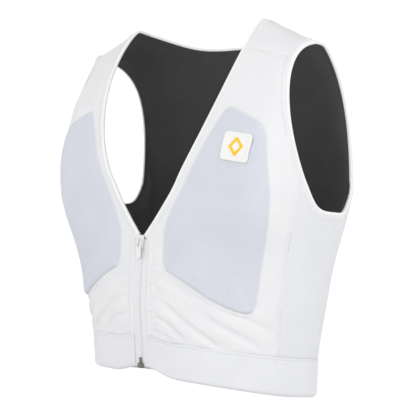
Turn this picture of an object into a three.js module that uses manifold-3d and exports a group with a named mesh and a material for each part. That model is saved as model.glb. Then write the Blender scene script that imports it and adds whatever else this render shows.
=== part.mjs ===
// Equestrian protector vest: a cropped, sleeveless riding vest with a deep V neck, a front zip and
// two soft chest pads let into the front panels.
//
// Every cloth piece is drawn on one torso form as a place (turn, rise). Turn is the angle in degrees
// round the body from the centre front, positive to the wearer's left. Rise is 0 at the hem, 1 at the
// armpits and 2 at the ridge of the shoulders. A flat sheet of places is wrapped on the form and then
// given its thickness. Lengths are millimetres, +Z is up, the wearer faces -Y and +X is their left.

import * as THREE from "three";
import { mergeVertices } from "three/addons/utils/BufferGeometryUtils.js";
import Module from "manifold-3d";

const wasm = await Module();
wasm.setup();

// Driving dimensions of the torso form

const ARMPIT_HEIGHT = 220;
const NECK_HEIGHT = 389;
const SECTION_SQUARENESS = 0.88; // 1 is an ellipse, less is squarer
const TORSO_SECTIONS = [
  { height: 0, halfWidth: 131, frontDepth: 92.5, backDepth: 106 },
  { height: 40, halfWidth: 134.5, frontDepth: 97, backDepth: 99 },
  { height: 90, halfWidth: 143.5, frontDepth: 102.5, backDepth: 95.5 },
  { height: 140, halfWidth: 151.5, frontDepth: 102.5, backDepth: 99 },
  { height: 185, halfWidth: 162, frontDepth: 105, backDepth: 106 },
  { height: 220, halfWidth: 166.5, frontDepth: 108, backDepth: 114 },
];
const SHOULDER = {
  halfWidth: 172,
  ridgeY: -35,
  frontRound: 1.37,
  backRound: 2.45,
  slopeFrom: 87,
  slope: 0.36,
  ease: 20,
};
const BUST = {
  swell: 25.5,
  turn: 57,
  spread: 23.4,
  height: 209,
  above: 131,
  below: 87,
  forward: 0.93,
  outward: 0.37,
};
const HEM = { frontLift: 12, zipLift: 9, zipLiftSpread: 10, zipLiftHeight: 70 };

// Openings and seams

const ZIP_TOP_RISE = 0.707;
const ZIP_HALF_WIDTH = 9;
const NECK = { startX: 3, halfWidth: 93, curve: 2.26, backDrop: 18, backCurve: 3.67 };
const ARMHOLE = {
  lowTurn: 93.8,
  lowRise: 0.892,
  tipX: 166.3,
  frontBow: 22.5,
  backBow: 17.7,
  lowPower: 0.389,
  tipPower: 2.2,
};
const WAIST_RISE = 0.185;
const SHOULDER_SEAM_RISE = 1.61;
const FRONT_SEAM = [
  { height: 0.15, turn: 77 },
  { height: 0.43, turn: 72.5 },
  { height: 0.92, turn: 72 },
  { height: 1.2, turn: 72 },
];
const BACK_SEAM_TURN = 112;

// Cloth, padding and trim

const GAP = 0.35;
const CLOTH = 1.5;
const LINING = 1.0;
const LINING_CLEARANCE = 1.4;
const LINING_EDGE = 1.8;
const BINDING = { width: 8, proud: 0.6, depth: 2.2 };
const WAISTBAND = { proud: 0.8, depth: 1.9 };
const PATTERN_PER_DEGREE = 2.3;
const PAD_CENTRE = { turn: 36, rise: 0.84 };
const PAD_CORNERS = [
  { turn: 32, rise: 1.302, round: 9 },
  { turn: 54.5, rise: 1.222, round: 16 },
  { turn: 62.3, rise: 0.95, round: 70 },
  { turn: 58.6, rise: 0.367, round: 15 },
  { turn: 42, rise: 0.374, round: 30 },
  { turn: 10, rise: 0.545, round: 7 },
  { turn: 10, rise: 0.765, round: 24 },
];
const PAD_RINGS = [
  { share: 0.45, proud: 2.6, depth: 5.5 },
  { share: 0.82, proud: 2.5, depth: 5.3 },
  { share: 0.95, proud: 2.0, depth: 3.6 },
  { share: 1, proud: 0.5, depth: 1.2 },
];
const PAD_WINDOW_REACH = 6;
const PAD_POCKET = { depth: 4.5, from: -16, to: 8 };
const BADGE_CENTRE = { turn: 41.5, rise: 1.117 };
const BADGE_CORNERS = [
  { turn: 35.0, rise: 1.178, round: 4 },
  { turn: 48.9, rise: 1.166, round: 4 },
  { turn: 47.6, rise: 1.054, round: 4 },
  { turn: 34.3, rise: 1.069, round: 4 },
];
const BADGE = { seat: 3.4, thick: 1.3, markSize: 8.5, markStroke: 2.7, markThick: 0.5 };

// Drag folds in the cloth under the chest pads, each a line between two places
const FOLDS = [
  { fromTurn: 9, fromRise: 0.5, toTurn: 50, toRise: 0.335, width: 6, height: 2.0 },
  { fromTurn: 10, fromRise: 0.435, toTurn: 48, toRise: 0.275, width: 5, height: -1.6 },
  { fromTurn: 13, fromRise: 0.405, toTurn: 58, toRise: 0.225, width: 6, height: 2.0 },
  { fromTurn: 15, fromRise: 0.355, toTurn: 47, toRise: 0.192, width: 5, height: -1.8 },
  { fromTurn: 8, fromRise: 0.34, toTurn: 34, toRise: 0.205, width: 5, height: 1.6 },
  { fromTurn: 7, fromRise: 0.3, toTurn: 25, toRise: 0.205, width: 5, height: -1.5 },
  { fromTurn: 38, fromRise: 0.35, toTurn: 66, toRise: 0.275, width: 6, height: -1.6 },
  { fromTurn: 48, fromRise: 0.3, toTurn: 66, toRise: 0.24, width: 6, height: 1.5 },
];
const FOLD_CLEARANCE = { depth: 3.2, fadeRise: 0.42, topRise: 0.62 };

// Zip

const ZIP = {
  tapeThick: 0.8,
  tapeTopGap: 4.4,
  chainHalfWidth: 2.6,
  chainFront: 2.0,
  chainBack: 0.7,
  chainTopGap: 5.2,
  chainLowGap: 2.5,
};
const SLIDER = {
  length: 13,
  topHalfWidth: 4.8,
  lowHalfWidth: 3.6,
  plateBack: 2.4,
  plateFront: 3.4,
  flangeIn: 3.05,
  flangeBack: 0.8,
  backPlateFront: -0.8,
  backPlateBack: -1.7,
  postHalfWidth: 1.4,
  postLength: 3.2,
  shoulder: 2.5,
  topFlat: 1.5,
  sunk: 0.2,
};
const BRIDGE = { halfWidth: 0.9, low: -3.2, high: 4.4, front: 6.5, wall: 1.2, round: 1.5 };
const PULL = {
  pivotZ: 0.8,
  pivotOut: 4.4,
  barRadius: 0.55,
  halfWidth: 3.2,
  thick: 1.2,
  windowHalf: 1.5,
  window: 6.4,
  length: 18,
  round: 2,
};
const ZIP_BOX = { halfWidth: 3.4, height: 5.2, back: 0.7, front: 2.9 };
const ZIP_PIN = { halfWidth: 1.3, height: 5.5, back: 0.7, front: 2.3 };

// Form

const radians = THREE.MathUtils.degToRad;
const degrees = THREE.MathUtils.radToDeg;
const { clamp, lerp, smoothstep } = THREE.MathUtils;

// Cubic curve through one column of a table, with each row's slope taken from its neighbours and the
// slope at the last row given.
function fromTable(rows, column, height, lastSlope = 0) {
  let i = rows.findIndex((row) => row.height >= height);
  i = clamp(i < 0 ? rows.length - 1 : i, 1, rows.length - 1);
  const slope = (k) => {
    if (k === rows.length - 1) return lastSlope;
    const low = rows[Math.max(k - 1, 0)];
    const high = rows[k + 1];
    return (high[column] - low[column]) / (high.height - low.height);
  };
  const low = rows[i - 1];
  const high = rows[i];
  const span = high.height - low.height;
  const t = clamp((height - low.height) / span, 0, 1);
  const startSlope = slope(i - 1) * span;
  const endSlope = slope(i) * span;
  return (
    low[column] * (2 * t ** 3 - 3 * t ** 2 + 1) +
    startSlope * (t ** 3 - 2 * t ** 2 + t) +
    high[column] * (3 * t ** 2 - 2 * t ** 3) +
    endSlope * (t ** 3 - t ** 2)
  );
}

const climbAt = (rise) => Math.sin((clamp(rise - 1, 0, 1) * Math.PI) / 2);
function riseAtHeight(height) {
  if (height <= ARMPIT_HEIGHT) return height / ARMPIT_HEIGHT;
  const climb = clamp((height - ARMPIT_HEIGHT) / (NECK_HEIGHT - ARMPIT_HEIGHT), 0, 1);
  return 1 + (2 / Math.PI) * Math.asin(climb);
}

function halfWidthAt(rise) {
  const torso = fromTable(TORSO_SECTIONS, "halfWidth", clamp(rise, 0, 1) * ARMPIT_HEIGHT);
  return lerp(torso, SHOULDER.halfWidth, climbAt(rise));
}

// The turn at which a section reaches a given distance from the middle plane.
function turnAtX(x, rise) {
  const across = clamp(x / halfWidthAt(rise), 0, 1);
  return degrees(Math.asin(across ** (1 / SECTION_SQUARENESS)));
}

function shoulderDrop(x) {
  const past = (beyond) => (beyond + Math.hypot(beyond, SHOULDER.ease)) / 2;
  return SHOULDER.slope * (past(Math.abs(x) - SHOULDER.slopeFrom) - past(-SHOULDER.slopeFrom));
}

function formPoint({ turn, rise }) {
  const angle = radians(turn);
  const climb = climbAt(rise);
  const torsoHeight = clamp(rise, 0, 1) * ARMPIT_HEIGHT;
  const lean = SHOULDER.ridgeY / (NECK_HEIGHT - ARMPIT_HEIGHT);
  const front = fromTable(TORSO_SECTIONS, "frontDepth", torsoHeight, -lean);
  const back = fromTable(TORSO_SECTIONS, "backDepth", torsoHeight, lean);
  const domed = (depth, round) => depth * Math.max(1 - climb ** round, 0) ** (1 / round);
  const across = Math.sign(Math.sin(angle)) * Math.abs(Math.sin(angle)) ** SECTION_SQUARENESS;
  const along = Math.abs(Math.cos(angle)) ** SECTION_SQUARENESS;
  const depth = Math.cos(angle) > 0 ? -domed(front, SHOULDER.frontRound) : domed(back, SHOULDER.backRound);
  let x = halfWidthAt(rise) * across;
  let y = SHOULDER.ridgeY * climb + depth * along;
  let z = torsoHeight + (NECK_HEIGHT - ARMPIT_HEIGHT) * climb;

  const fromCentre = Math.abs(degrees(Math.atan2(Math.sin(angle), Math.cos(angle))));
  const aboveBust = z - BUST.height;
  const bustReach = aboveBust > 0 ? BUST.above : BUST.below;
  const swell =
    BUST.swell *
    (1 - climb ** 4) *
    Math.exp(-(((fromCentre - BUST.turn) / BUST.spread) ** 2) - (aboveBust / bustReach) ** 2);
  x += swell * BUST.outward * Math.sign(across);
  y -= swell * BUST.forward;

  z -= shoulderDrop(x) * climb ** 2;
  const lift = HEM.frontLift * Math.cos(angle) * clamp(1 - z / ARMPIT_HEIGHT, 0, 1);
  const nearZip = Math.exp(-((fromCentre / HEM.zipLiftSpread) ** 2));
  const zipLift = HEM.zipLift * nearZip * clamp(1 - z / HEM.zipLiftHeight, 0, 1);
  return new THREE.Vector3(x, y, z + lift + zipLift);
}

// Outward normal of the form. On the ridge itself it is taken just behind, where the form is level.
function formNormal({ turn, rise }) {
  const isRidge = rise > 1.99;
  const isFront = Math.cos(radians(turn)) > 0;
  const middle = { turn: isRidge && isFront ? 180 - turn : turn, rise: isRidge ? 1.985 : rise };
  const step = (turnStep, riseStep) => {
    return formPoint({ turn: middle.turn + turnStep, rise: middle.rise + riseStep });
  };
  const round = step(0.4, 0).sub(step(-0.4, 0));
  const up = step(0, 0.004).sub(step(0, -0.004));
  return round.cross(up).normalize();
}

// Edges, each as the turn or rise where it runs

// Front neckline, set in from the edge by a width measured square to it.
function neckTurn(rise, inset) {
  const height = ARMPIT_HEIGHT * Math.min(rise, 1) + (NECK_HEIGHT - ARMPIT_HEIGHT) * climbAt(rise);
  const start = ZIP_TOP_RISE * ARMPIT_HEIGHT;
  const t = clamp((height - start) / (NECK_HEIGHT - start), 0, 1);
  const reach = NECK.halfWidth - NECK.startX;
  const x = NECK.startX + reach * (1 - (1 - t) ** NECK.curve);
  const flare = (reach * NECK.curve * (1 - t) ** (NECK.curve - 1)) / (NECK_HEIGHT - start);
  return turnAtX(x + inset * Math.hypot(1, flare), rise);
}

// Back neckline at a share from -1 to 1 of its half width.
function backNeckPlace(share, inset) {
  const fall = (NECK.backDrop + inset) * (1 - Math.abs(share) ** NECK.backCurve);
  const rise = riseAtHeight(NECK_HEIGHT - fall);
  const turn = turnAtX(Math.abs(share) * (NECK.halfWidth + inset), rise);
  return { turn: 180 - Math.sign(share) * turn, rise };
}

// Armhole edge at a sweep from 0 at the armpit to 180 at the shoulder tip, on its front or its back.
function armholePlace(sweep, inset, isBack) {
  const share = (1 - Math.cos(radians(sweep))) / 2;
  const power = lerp(ARMHOLE.lowPower, ARMHOLE.tipPower, share);
  const bow = (isBack ? ARMHOLE.backBow : ARMHOLE.frontBow) * Math.sin(radians(sweep)) ** power;
  const lowTurn = isBack ? 180 - ARMHOLE.lowTurn : ARMHOLE.lowTurn;
  const turn = lerp(lowTurn, turnAtX(ARMHOLE.tipX - inset, 2), share) - bow;
  const lowRise = ARMHOLE.lowRise - inset / ARMPIT_HEIGHT;
  return { turn: isBack ? 180 - turn : turn, rise: lerp(lowRise, 2, share) };
}

const sweepAtRise = (rise, inset) => {
  const lowRise = ARMHOLE.lowRise - inset / ARMPIT_HEIGHT;
  return degrees(Math.acos(clamp(1 - (2 * (rise - lowRise)) / (2 - lowRise), -1, 1)));
};
const armholeTurn = (rise, inset, isBack) => armholePlace(sweepAtRise(rise, inset), inset, isBack).turn;
const frontSeamTurn = (rise) => fromTable(FRONT_SEAM, "turn", rise);

// The value between low and high where a rising or falling function passes zero.
function whereZero(low, high, f) {
  const sign = Math.sign(f(low));
  for (let i = 0; i < 40; i++) {
    const middle = (low + high) / 2;
    if (Math.sign(f(middle)) === sign) low = middle;
    else high = middle;
  }
  return (low + high) / 2;
}

const PANEL_INSET = BINDING.width + 1.6 * GAP;
const SEAM_GAP = (1.2 * GAP) / PATTERN_PER_DEGREE;
const CLOTH_LOW_RISE = WAIST_RISE + GAP / ARMPIT_HEIGHT;

// Pattern outlines

const toPattern = ({ turn, rise }) => new THREE.Vector2(turn * PATTERN_PER_DEGREE, rise * ARMPIT_HEIGHT);
const toPlace = ({ x, y }) => ({ turn: x / PATTERN_PER_DEGREE, rise: y / ARMPIT_HEIGHT });

// A polygon of places with each corner rounded, as evenly spaced places, clockwise from outside.
function roundedOutline(corners, count) {
  const points = corners.map(toPattern);
  const path = new THREE.Path();
  points.forEach((corner, i) => {
    const before = points.at(i - 1);
    const after = points[(i + 1) % points.length];
    const start = corner.clone().lerp(before, corners[i].round / corner.distanceTo(before));
    const end = corner.clone().lerp(after, corners[i].round / corner.distanceTo(after));
    if (i === 0) path.moveTo(start.x, start.y);
    else path.lineTo(start.x, start.y);
    path.quadraticCurveTo(corner.x, corner.y, end.x, end.y);
  });
  path.closePath();
  return path.getSpacedPoints(count).slice(0, count).map(toPlace);
}

const PAD_OUTLINE = roundedOutline(PAD_CORNERS, 36);

// How far a place lies inside the pad's outline, in pattern millimetres, negative outside it.
function padInset(place) {
  const p = toPattern(place);
  const points = PAD_OUTLINE.map(toPattern);
  let nearest = Infinity;
  let inside = false;
  points.forEach((a, i) => {
    const b = points[(i + 1) % points.length];
    const edge = b.clone().sub(a);
    const t = clamp(p.clone().sub(a).dot(edge) / edge.lengthSq(), 0, 1);
    nearest = Math.min(nearest, p.distanceTo(a.clone().addScaledVector(edge, t)));
    if (a.y > p.y !== b.y > p.y && p.x < a.x + ((p.y - a.y) / (b.y - a.y)) * (b.x - a.x)) inside = !inside;
  });
  return inside ? nearest : -nearest;
}

// Height of the drag folds at a place of the front cloth.
function foldHeight(place) {
  const p = toPattern(place);
  let height = 0;
  for (const fold of FOLDS) {
    const from = toPattern({ turn: fold.fromTurn, rise: fold.fromRise });
    const run = toPattern({ turn: fold.toTurn, rise: fold.toRise }).sub(from);
    const t = clamp(p.clone().sub(from).dot(run) / run.lengthSq(), 0, 1);
    const away = p.distanceTo(from.addScaledVector(run, t));
    height += fold.height * Math.exp(-((away / fold.width) ** 2)) * (0.35 + 0.65 * Math.sin(Math.PI * t));
  }
  return height;
}

// Sheets: lists of places with the triangles between them, counter-clockwise from outside

const spaced = (from, to, steps) => Array.from({ length: steps + 1 }, (_, i) => lerp(from, to, i / steps));

// A grid with a place for each column and row, each cell split along its shorter diagonal. A closed grid
// joins its last column to its first.
function gridSheet(columns, rows, place, isClosed = false) {
  const places = rows.flatMap((row) => columns.map((column) => place(column, row)));
  const triangles = [];
  const n = columns.length;
  const points = places.map(formPoint);
  for (let r = 0; r < rows.length - 1; r++) {
    for (let c = 0; c < (isClosed ? n : n - 1); c++) {
      const low = r * n + c;
      const lowNext = r * n + ((c + 1) % n);
      const high = low + n;
      const highNext = lowNext + n;
      const risingLength = points[low].distanceTo(points[highNext]);
      const fallingLength = points[lowNext].distanceTo(points[high]);
      const isRising = risingLength < fallingLength + 1e-3;
      if (isRising) triangles.push([low, lowNext, highNext], [low, highNext, high]);
      else triangles.push([low, lowNext, high], [lowNext, highNext, high]);
    }
  }
  return { places, triangles };
}

// Rings of places between a centre, or an inner ring, and an outline.
function ringSheet(outline, centre, shares, isOpen) {
  const n = outline.length;
  const sheet = { places: isOpen ? [] : [{ ...centre, ring: 0 }], triangles: [] };
  const first = sheet.places.length;
  shares.forEach((share, ring) => {
    for (const edge of outline) {
      const turn = lerp(centre.turn, edge.turn, share);
      const rise = lerp(centre.rise, edge.rise, share);
      sheet.places.push({ turn, rise, ring });
    }
  });
  for (let i = 0; i < n; i++) {
    const j = (i + 1) % n;
    if (!isOpen) sheet.triangles.push([0, first + j, first + i]);
    for (let ring = 1; ring < shares.length; ring++) {
      const inner = first + (ring - 1) * n;
      const outer = first + ring * n;
      sheet.triangles.push([inner + i, inner + j, outer + j], [inner + i, outer + j, outer + i]);
    }
  }
  return sheet;
}

// Sheets that share an edge, made one.
function joinSheets(sheets) {
  const joined = { places: [], triangles: [] };
  const known = new Map();
  for (const sheet of sheets) {
    const index = sheet.places.map((place) => {
      const key = formPoint(place).toArray().map((value) => Math.round(value * 100)).join();
      if (!known.has(key)) {
        known.set(key, joined.places.length);
        joined.places.push(place);
      }
      return known.get(key);
    });
    for (const triangle of sheet.triangles) joined.triangles.push(triangle.map((corner) => index[corner]));
  }
  return joined;
}

// A closed wall round a sheet. Outer and inner give each face's distance outside the form.
function wall(sheet, outer, inner, relief = () => 0) {
  const base = sheet.places.map(formPoint);
  const normals = sheet.places.map(formNormal);
  const n = base.length;
  const faceOf = (offset) =>
    sheet.places.map((place, i) => {
      const distance = offset(place) + relief(place);
      return base[i].clone().addScaledVector(normals[i], distance);
    });
  const vertices = [...faceOf(outer), ...faceOf(inner)];
  const index = [];
  const directed = new Set();
  for (const [i, j, k] of sheet.triangles) {
    index.push(i, j, k, n + i, n + k, n + j);
    for (const edge of [[i, j], [j, k], [k, i]]) directed.add(edge.join());
  }
  for (const edge of directed) {
    const [i, j] = edge.split(",").map(Number);
    if (!directed.has(`${j},${i}`)) index.push(j, i, n + i, j, n + i, n + j);
  }
  const geometry = new THREE.BufferGeometry().setFromPoints(vertices);
  geometry.setIndex(index);
  geometry.computeVertexNormals();
  return geometry;
}

const level = (distance) => () => distance;

// Solids for cutting and joining

function solidOf(geometry) {
  const bare = new THREE.BufferGeometry().setAttribute("position", geometry.getAttribute("position"));
  bare.setIndex(geometry.index);
  const merged = mergeVertices(bare, 1e-3);
  return new wasm.Manifold(
    new wasm.Mesh({
      numProp: 3,
      vertProperties: merged.getAttribute("position").array,
      triVerts: new Uint32Array(merged.index.array),
    }),
  );
}

function geometryOf(solid) {
  const mesh = solid.getMesh();
  const geometry = new THREE.BufferGeometry();
  geometry.setAttribute("position", new THREE.BufferAttribute(mesh.vertProperties, 3));
  geometry.setIndex(new THREE.BufferAttribute(mesh.triVerts, 1));
  geometry.computeVertexNormals();
  return geometry;
}

const box = (low, high) =>
  new THREE.BoxGeometry(high[0] - low[0], high[1] - low[1], high[2] - low[2]).translate(
    (low[0] + high[0]) / 2,
    (low[1] + high[1]) / 2,
    (low[2] + high[2]) / 2,
  );

// Cloth panels. Panels and bindings that meet at an edge have the same rows there.

const ZIP_TOP_STEP = 0.004;
const UNDERARM_STEPS = 5;
const LEVEL_RISE = 1.4; // rows of the back panel are level up to here
const FRONT_RISES = [
  ...spaced(CLOTH_LOW_RISE, 0.5, 11),
  ...spaced(0.5, ZIP_TOP_RISE - ZIP_TOP_STEP, 2).slice(1),
  ...spaced(ZIP_TOP_RISE, SHOULDER_SEAM_RISE, 10),
];
const STRAP_RISES = [2, 1.95, 1.87, 1.75, SHOULDER_SEAM_RISE + GAP / ARMPIT_HEIGHT];
const BACK_RISES = [...spaced(CLOTH_LOW_RISE, 0.8, 3), ...spaced(0.8, 1.86, 8).slice(1), 1.94, 1.98, 2];
const LINING_FRONT_RISES = FRONT_RISES.filter((rise, i) => i % 3 === 0 || rise > ZIP_TOP_RISE - 0.01);
const LINING_STRAP_RISES = [2, 1.95, 1.87, 1.75, SHOULDER_SEAM_RISE + 0.008];

// Shares of the back neck's half width, closer together towards the shoulders.
const NECK_SHARES = spaced(90, -90, 12).map((angle) => Math.sin(radians(angle)));

function frontSheet(columns, rises, inset, seamGap) {
  return gridSheet(spaced(0, 1, columns), rises, (across, rise) => {
    const zipEdge = turnAtX(ZIP_HALF_WIDTH + GAP, rise);
    const inner = rise < ZIP_TOP_RISE ? zipEdge : Math.max(zipEdge, neckTurn(rise, inset));
    const outer = Math.min(frontSeamTurn(rise) - seamGap / 2, armholeTurn(rise, inset, false));
    return { turn: lerp(inner, outer, across), rise };
  });
}

// Sweeps along the bottom of the armhole, from its lowest point to the front or back seam.
function underarmSweeps(inset, seamGap, isBack, steps) {
  const beyondSeam = (sweep) => {
    const { turn, rise } = armholePlace(sweep, inset, isBack);
    return isBack ? BACK_SEAM_TURN - seamGap / 2 - turn : turn - frontSeamTurn(rise) - seamGap / 2;
  };
  const seamSweep = whereZero(0, 80, beyondSeam);
  return spaced(0, 1, steps).map((share) => seamSweep * share ** 1.8);
}

function sideSheet(columns, rows, inset, seamGap) {
  const tops = [false, true].flatMap((isBack) => {
    const sweeps = underarmSweeps(inset, seamGap, isBack, columns / 2);
    const places = sweeps.map((sweep) => armholePlace(sweep, inset, isBack));
    const seamTurn = places.at(-1).turn;
    const columnTops = places.map(({ turn, rise }) => {
      return { rise, isBack, toSeam: (turn - ARMHOLE.lowTurn) / (seamTurn - ARMHOLE.lowTurn) };
    });
    return isBack ? columnTops.slice(1) : columnTops.reverse();
  });
  return gridSheet(tops, spaced(0, 1, rows), (top, up) => {
    const rise = lerp(CLOTH_LOW_RISE, top.rise, up);
    const seamTurn = top.isBack ? BACK_SEAM_TURN - seamGap / 2 : frontSeamTurn(rise) + seamGap / 2;
    return { turn: lerp(ARMHOLE.lowTurn, seamTurn, top.toSeam), rise };
  });
}

// The back panel with the straps that run over the shoulders, all one sheet. Its columns lie under the
// neck, as shares of its half width, or under a strap, as shares of the strap's width.
function backSheet(strapColumns, rises, strapRises, inset, seamGap) {
  const reach = (rise) => 180 - Math.max(BACK_SEAM_TURN + seamGap / 2, armholeTurn(rise, inset, true));
  const neckReach = (rise) => {
    const atNeck = turnAtX(NECK.halfWidth + inset, rise);
    const below = (reach(rise) * turnAtX(NECK.halfWidth + inset, 2)) / reach(2);
    return lerp(below, atNeck, smoothstep(rise, 1, 1.5));
  };
  const strapShares = spaced(0, 1, strapColumns);
  const columns = [
    ...strapShares.toReversed().map((share) => ({ side: 1, share })),
    ...NECK_SHARES.slice(1, -1).map((share) => ({ isNeck: true, share })),
    ...strapShares.map((share) => ({ side: -1, share })),
  ];
  const turnAt = ({ isNeck, side, share }, rise) =>
    180 - (isNeck ? share * neckReach(rise) : side * lerp(neckReach(rise), reach(rise), share));
  const trunk = gridSheet(columns, rises, (column, row) => {
    const top = column.isNeck ? backNeckPlace(column.share, inset) : { turn: turnAt(column, 2), rise: 2 };
    const upTop = (row - LEVEL_RISE) / (2 - LEVEL_RISE);
    const rise = upTop <= 0 ? row : lerp(LEVEL_RISE, top.rise, upTop);
    const toNeck = smoothstep(row, LEVEL_RISE, 2) * (top.turn - turnAt(column, top.rise));
    return { turn: turnAt(column, rise) + toNeck, rise };
  });
  const straps = [1, -1].map((side) => {
    const shares = side > 0 ? strapShares : strapShares.toReversed();
    return gridSheet(shares, strapRises.toReversed(), (across, rise) => {
      const turn = lerp(neckTurn(rise, inset), armholeTurn(rise, inset, false), across);
      return { turn: side * turn, rise };
    });
  });
  return joinSheets([trunk, ...straps]);
}

const PAD_SHARES = PAD_RINGS.map(({ share }) => share);

const padWall = () =>
  wall(
    ringSheet(PAD_OUTLINE, PAD_CENTRE, PAD_SHARES, false),
    ({ ring }) => PAD_RINGS[ring].proud,
    ({ ring }) => -PAD_RINGS[ring].depth,
  );

// The cutter for the window in the front cloth that the pad fills, a gap larger than the pad.
function padWindowWall() {
  const grown = PAD_OUTLINE.map((place) => {
    const away = toPattern(place).sub(toPattern(PAD_CENTRE));
    return toPlace(toPattern(place).addScaledVector(away.normalize(), GAP));
  });
  const sheet = ringSheet(grown, PAD_CENTRE, PAD_SHARES, false);
  return wall(sheet, level(PAD_WINDOW_REACH), level(-PAD_WINDOW_REACH));
}

// How much deeper the front lining lies behind a pad and behind the folds.
function padPocket(place) {
  const behindPad = smoothstep(padInset(place), PAD_POCKET.from, PAD_POCKET.to);
  const { depth, fadeRise, topRise } = FOLD_CLEARANCE;
  const behindFolds = 1 - smoothstep(place.rise, fadeRise, topRise);
  return Math.max(PAD_POCKET.depth * behindPad, depth * behindFolds);
}

function liningWall(sheet, pocket = () => 0) {
  const start = CLOTH + LINING_CLEARANCE;
  return wall(
    sheet,
    (place) => -start - pocket(place),
    (place) => -start - LINING - pocket(place),
  );
}

// Bindings and waistband

const bindingOuter = level(BINDING.proud);
const bindingInner = level(-BINDING.depth);
const BINDING_INSETS = [BINDING.width, BINDING.width / 2, 0];

// The neck binding goes up from the left of the zip, round the back neck and down to its right.
function neckBindingWall() {
  const start = ZIP_TOP_RISE + GAP / ARMPIT_HEIGHT;
  const frontRises = FRONT_RISES.filter((rise) => rise > start);
  const climb = [start, ...frontRises, ...STRAP_RISES.slice(0, -1).reverse()];
  const left = climb.map((rise) => (inset) => ({ turn: neckTurn(rise, inset), rise }));
  const right = climb.map((rise) => (inset) => ({ turn: -neckTurn(rise, inset), rise }));
  const back = NECK_SHARES.map((share) => (inset) => backNeckPlace(share, inset));
  const stations = [...left, ...back.slice(1, -1), ...right.reverse()];
  const sheet = gridSheet(stations, BINDING_INSETS, (placeAt, inset) => placeAt(inset));
  return wall(sheet, bindingOuter, bindingInner);
}

// The armhole binding goes up the front of the left armhole and down its back.
function armholeBindingWall() {
  const stationsOf = (isBack, rises) => {
    const low = underarmSweeps(PANEL_INSET, SEAM_GAP, isBack, UNDERARM_STEPS);
    const all = rises.map((rise) => sweepAtRise(rise, PANEL_INSET));
    const high = all.filter((sweep) => sweep > low.at(-1) + 1);
    const sweeps = [...low, ...high].sort((a, b) => a - b);
    return sweeps.map((sweep) => (inset) => armholePlace(sweep, inset, isBack));
  };
  const front = stationsOf(false, [...FRONT_RISES, ...STRAP_RISES.slice(0, -1)]);
  const back = stationsOf(true, BACK_RISES);
  const stations = [...front, ...back.reverse().slice(1, -1)];
  const sheet = gridSheet(stations, BINDING_INSETS.toReversed(), (placeAt, inset) => placeAt(inset), true);
  return wall(sheet, bindingOuter, bindingInner);
}

function waistbandWall() {
  const start = turnAtX(ZIP_HALF_WIDTH + GAP, 0);
  const turns = spaced(start, 360 - start, 44);
  const sheet = gridSheet(turns, spaced(0, WAIST_RISE, 2), (turn, rise) => ({ turn, rise }));
  return wall(sheet, level(WAISTBAND.proud), level(-WAISTBAND.depth));
}

// Zip

const frontAt = (x, rise) => ({ turn: Math.sign(x) * turnAtX(Math.abs(x), rise), rise });

function zipTapeWall() {
  const top = ZIP_TOP_RISE - ZIP.tapeTopGap / ARMPIT_HEIGHT;
  const sheet = gridSheet([GAP, ZIP_HALF_WIDTH], spaced(0, top, 14), frontAt);
  return wall(sheet, level(ZIP.tapeThick / 2), level(-ZIP.tapeThick / 2));
}

function zipChainWall() {
  const low = (ZIP_BOX.height + ZIP_PIN.height + ZIP.chainLowGap) / ARMPIT_HEIGHT;
  const top = ZIP_TOP_RISE - ZIP.chainTopGap / ARMPIT_HEIGHT;
  const columns = [-ZIP.chainHalfWidth, 0, ZIP.chainHalfWidth];
  const sheet = gridSheet(columns, spaced(low, top, 14), frontAt);
  return wall(sheet, level(ZIP.chainFront), level(ZIP.chainBack));
}

// Slider, pull and end box are drawn with Y out of the cloth, then turned to face the front.
const faceFront = (geometry) => geometry.rotateZ(Math.PI);

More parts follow.
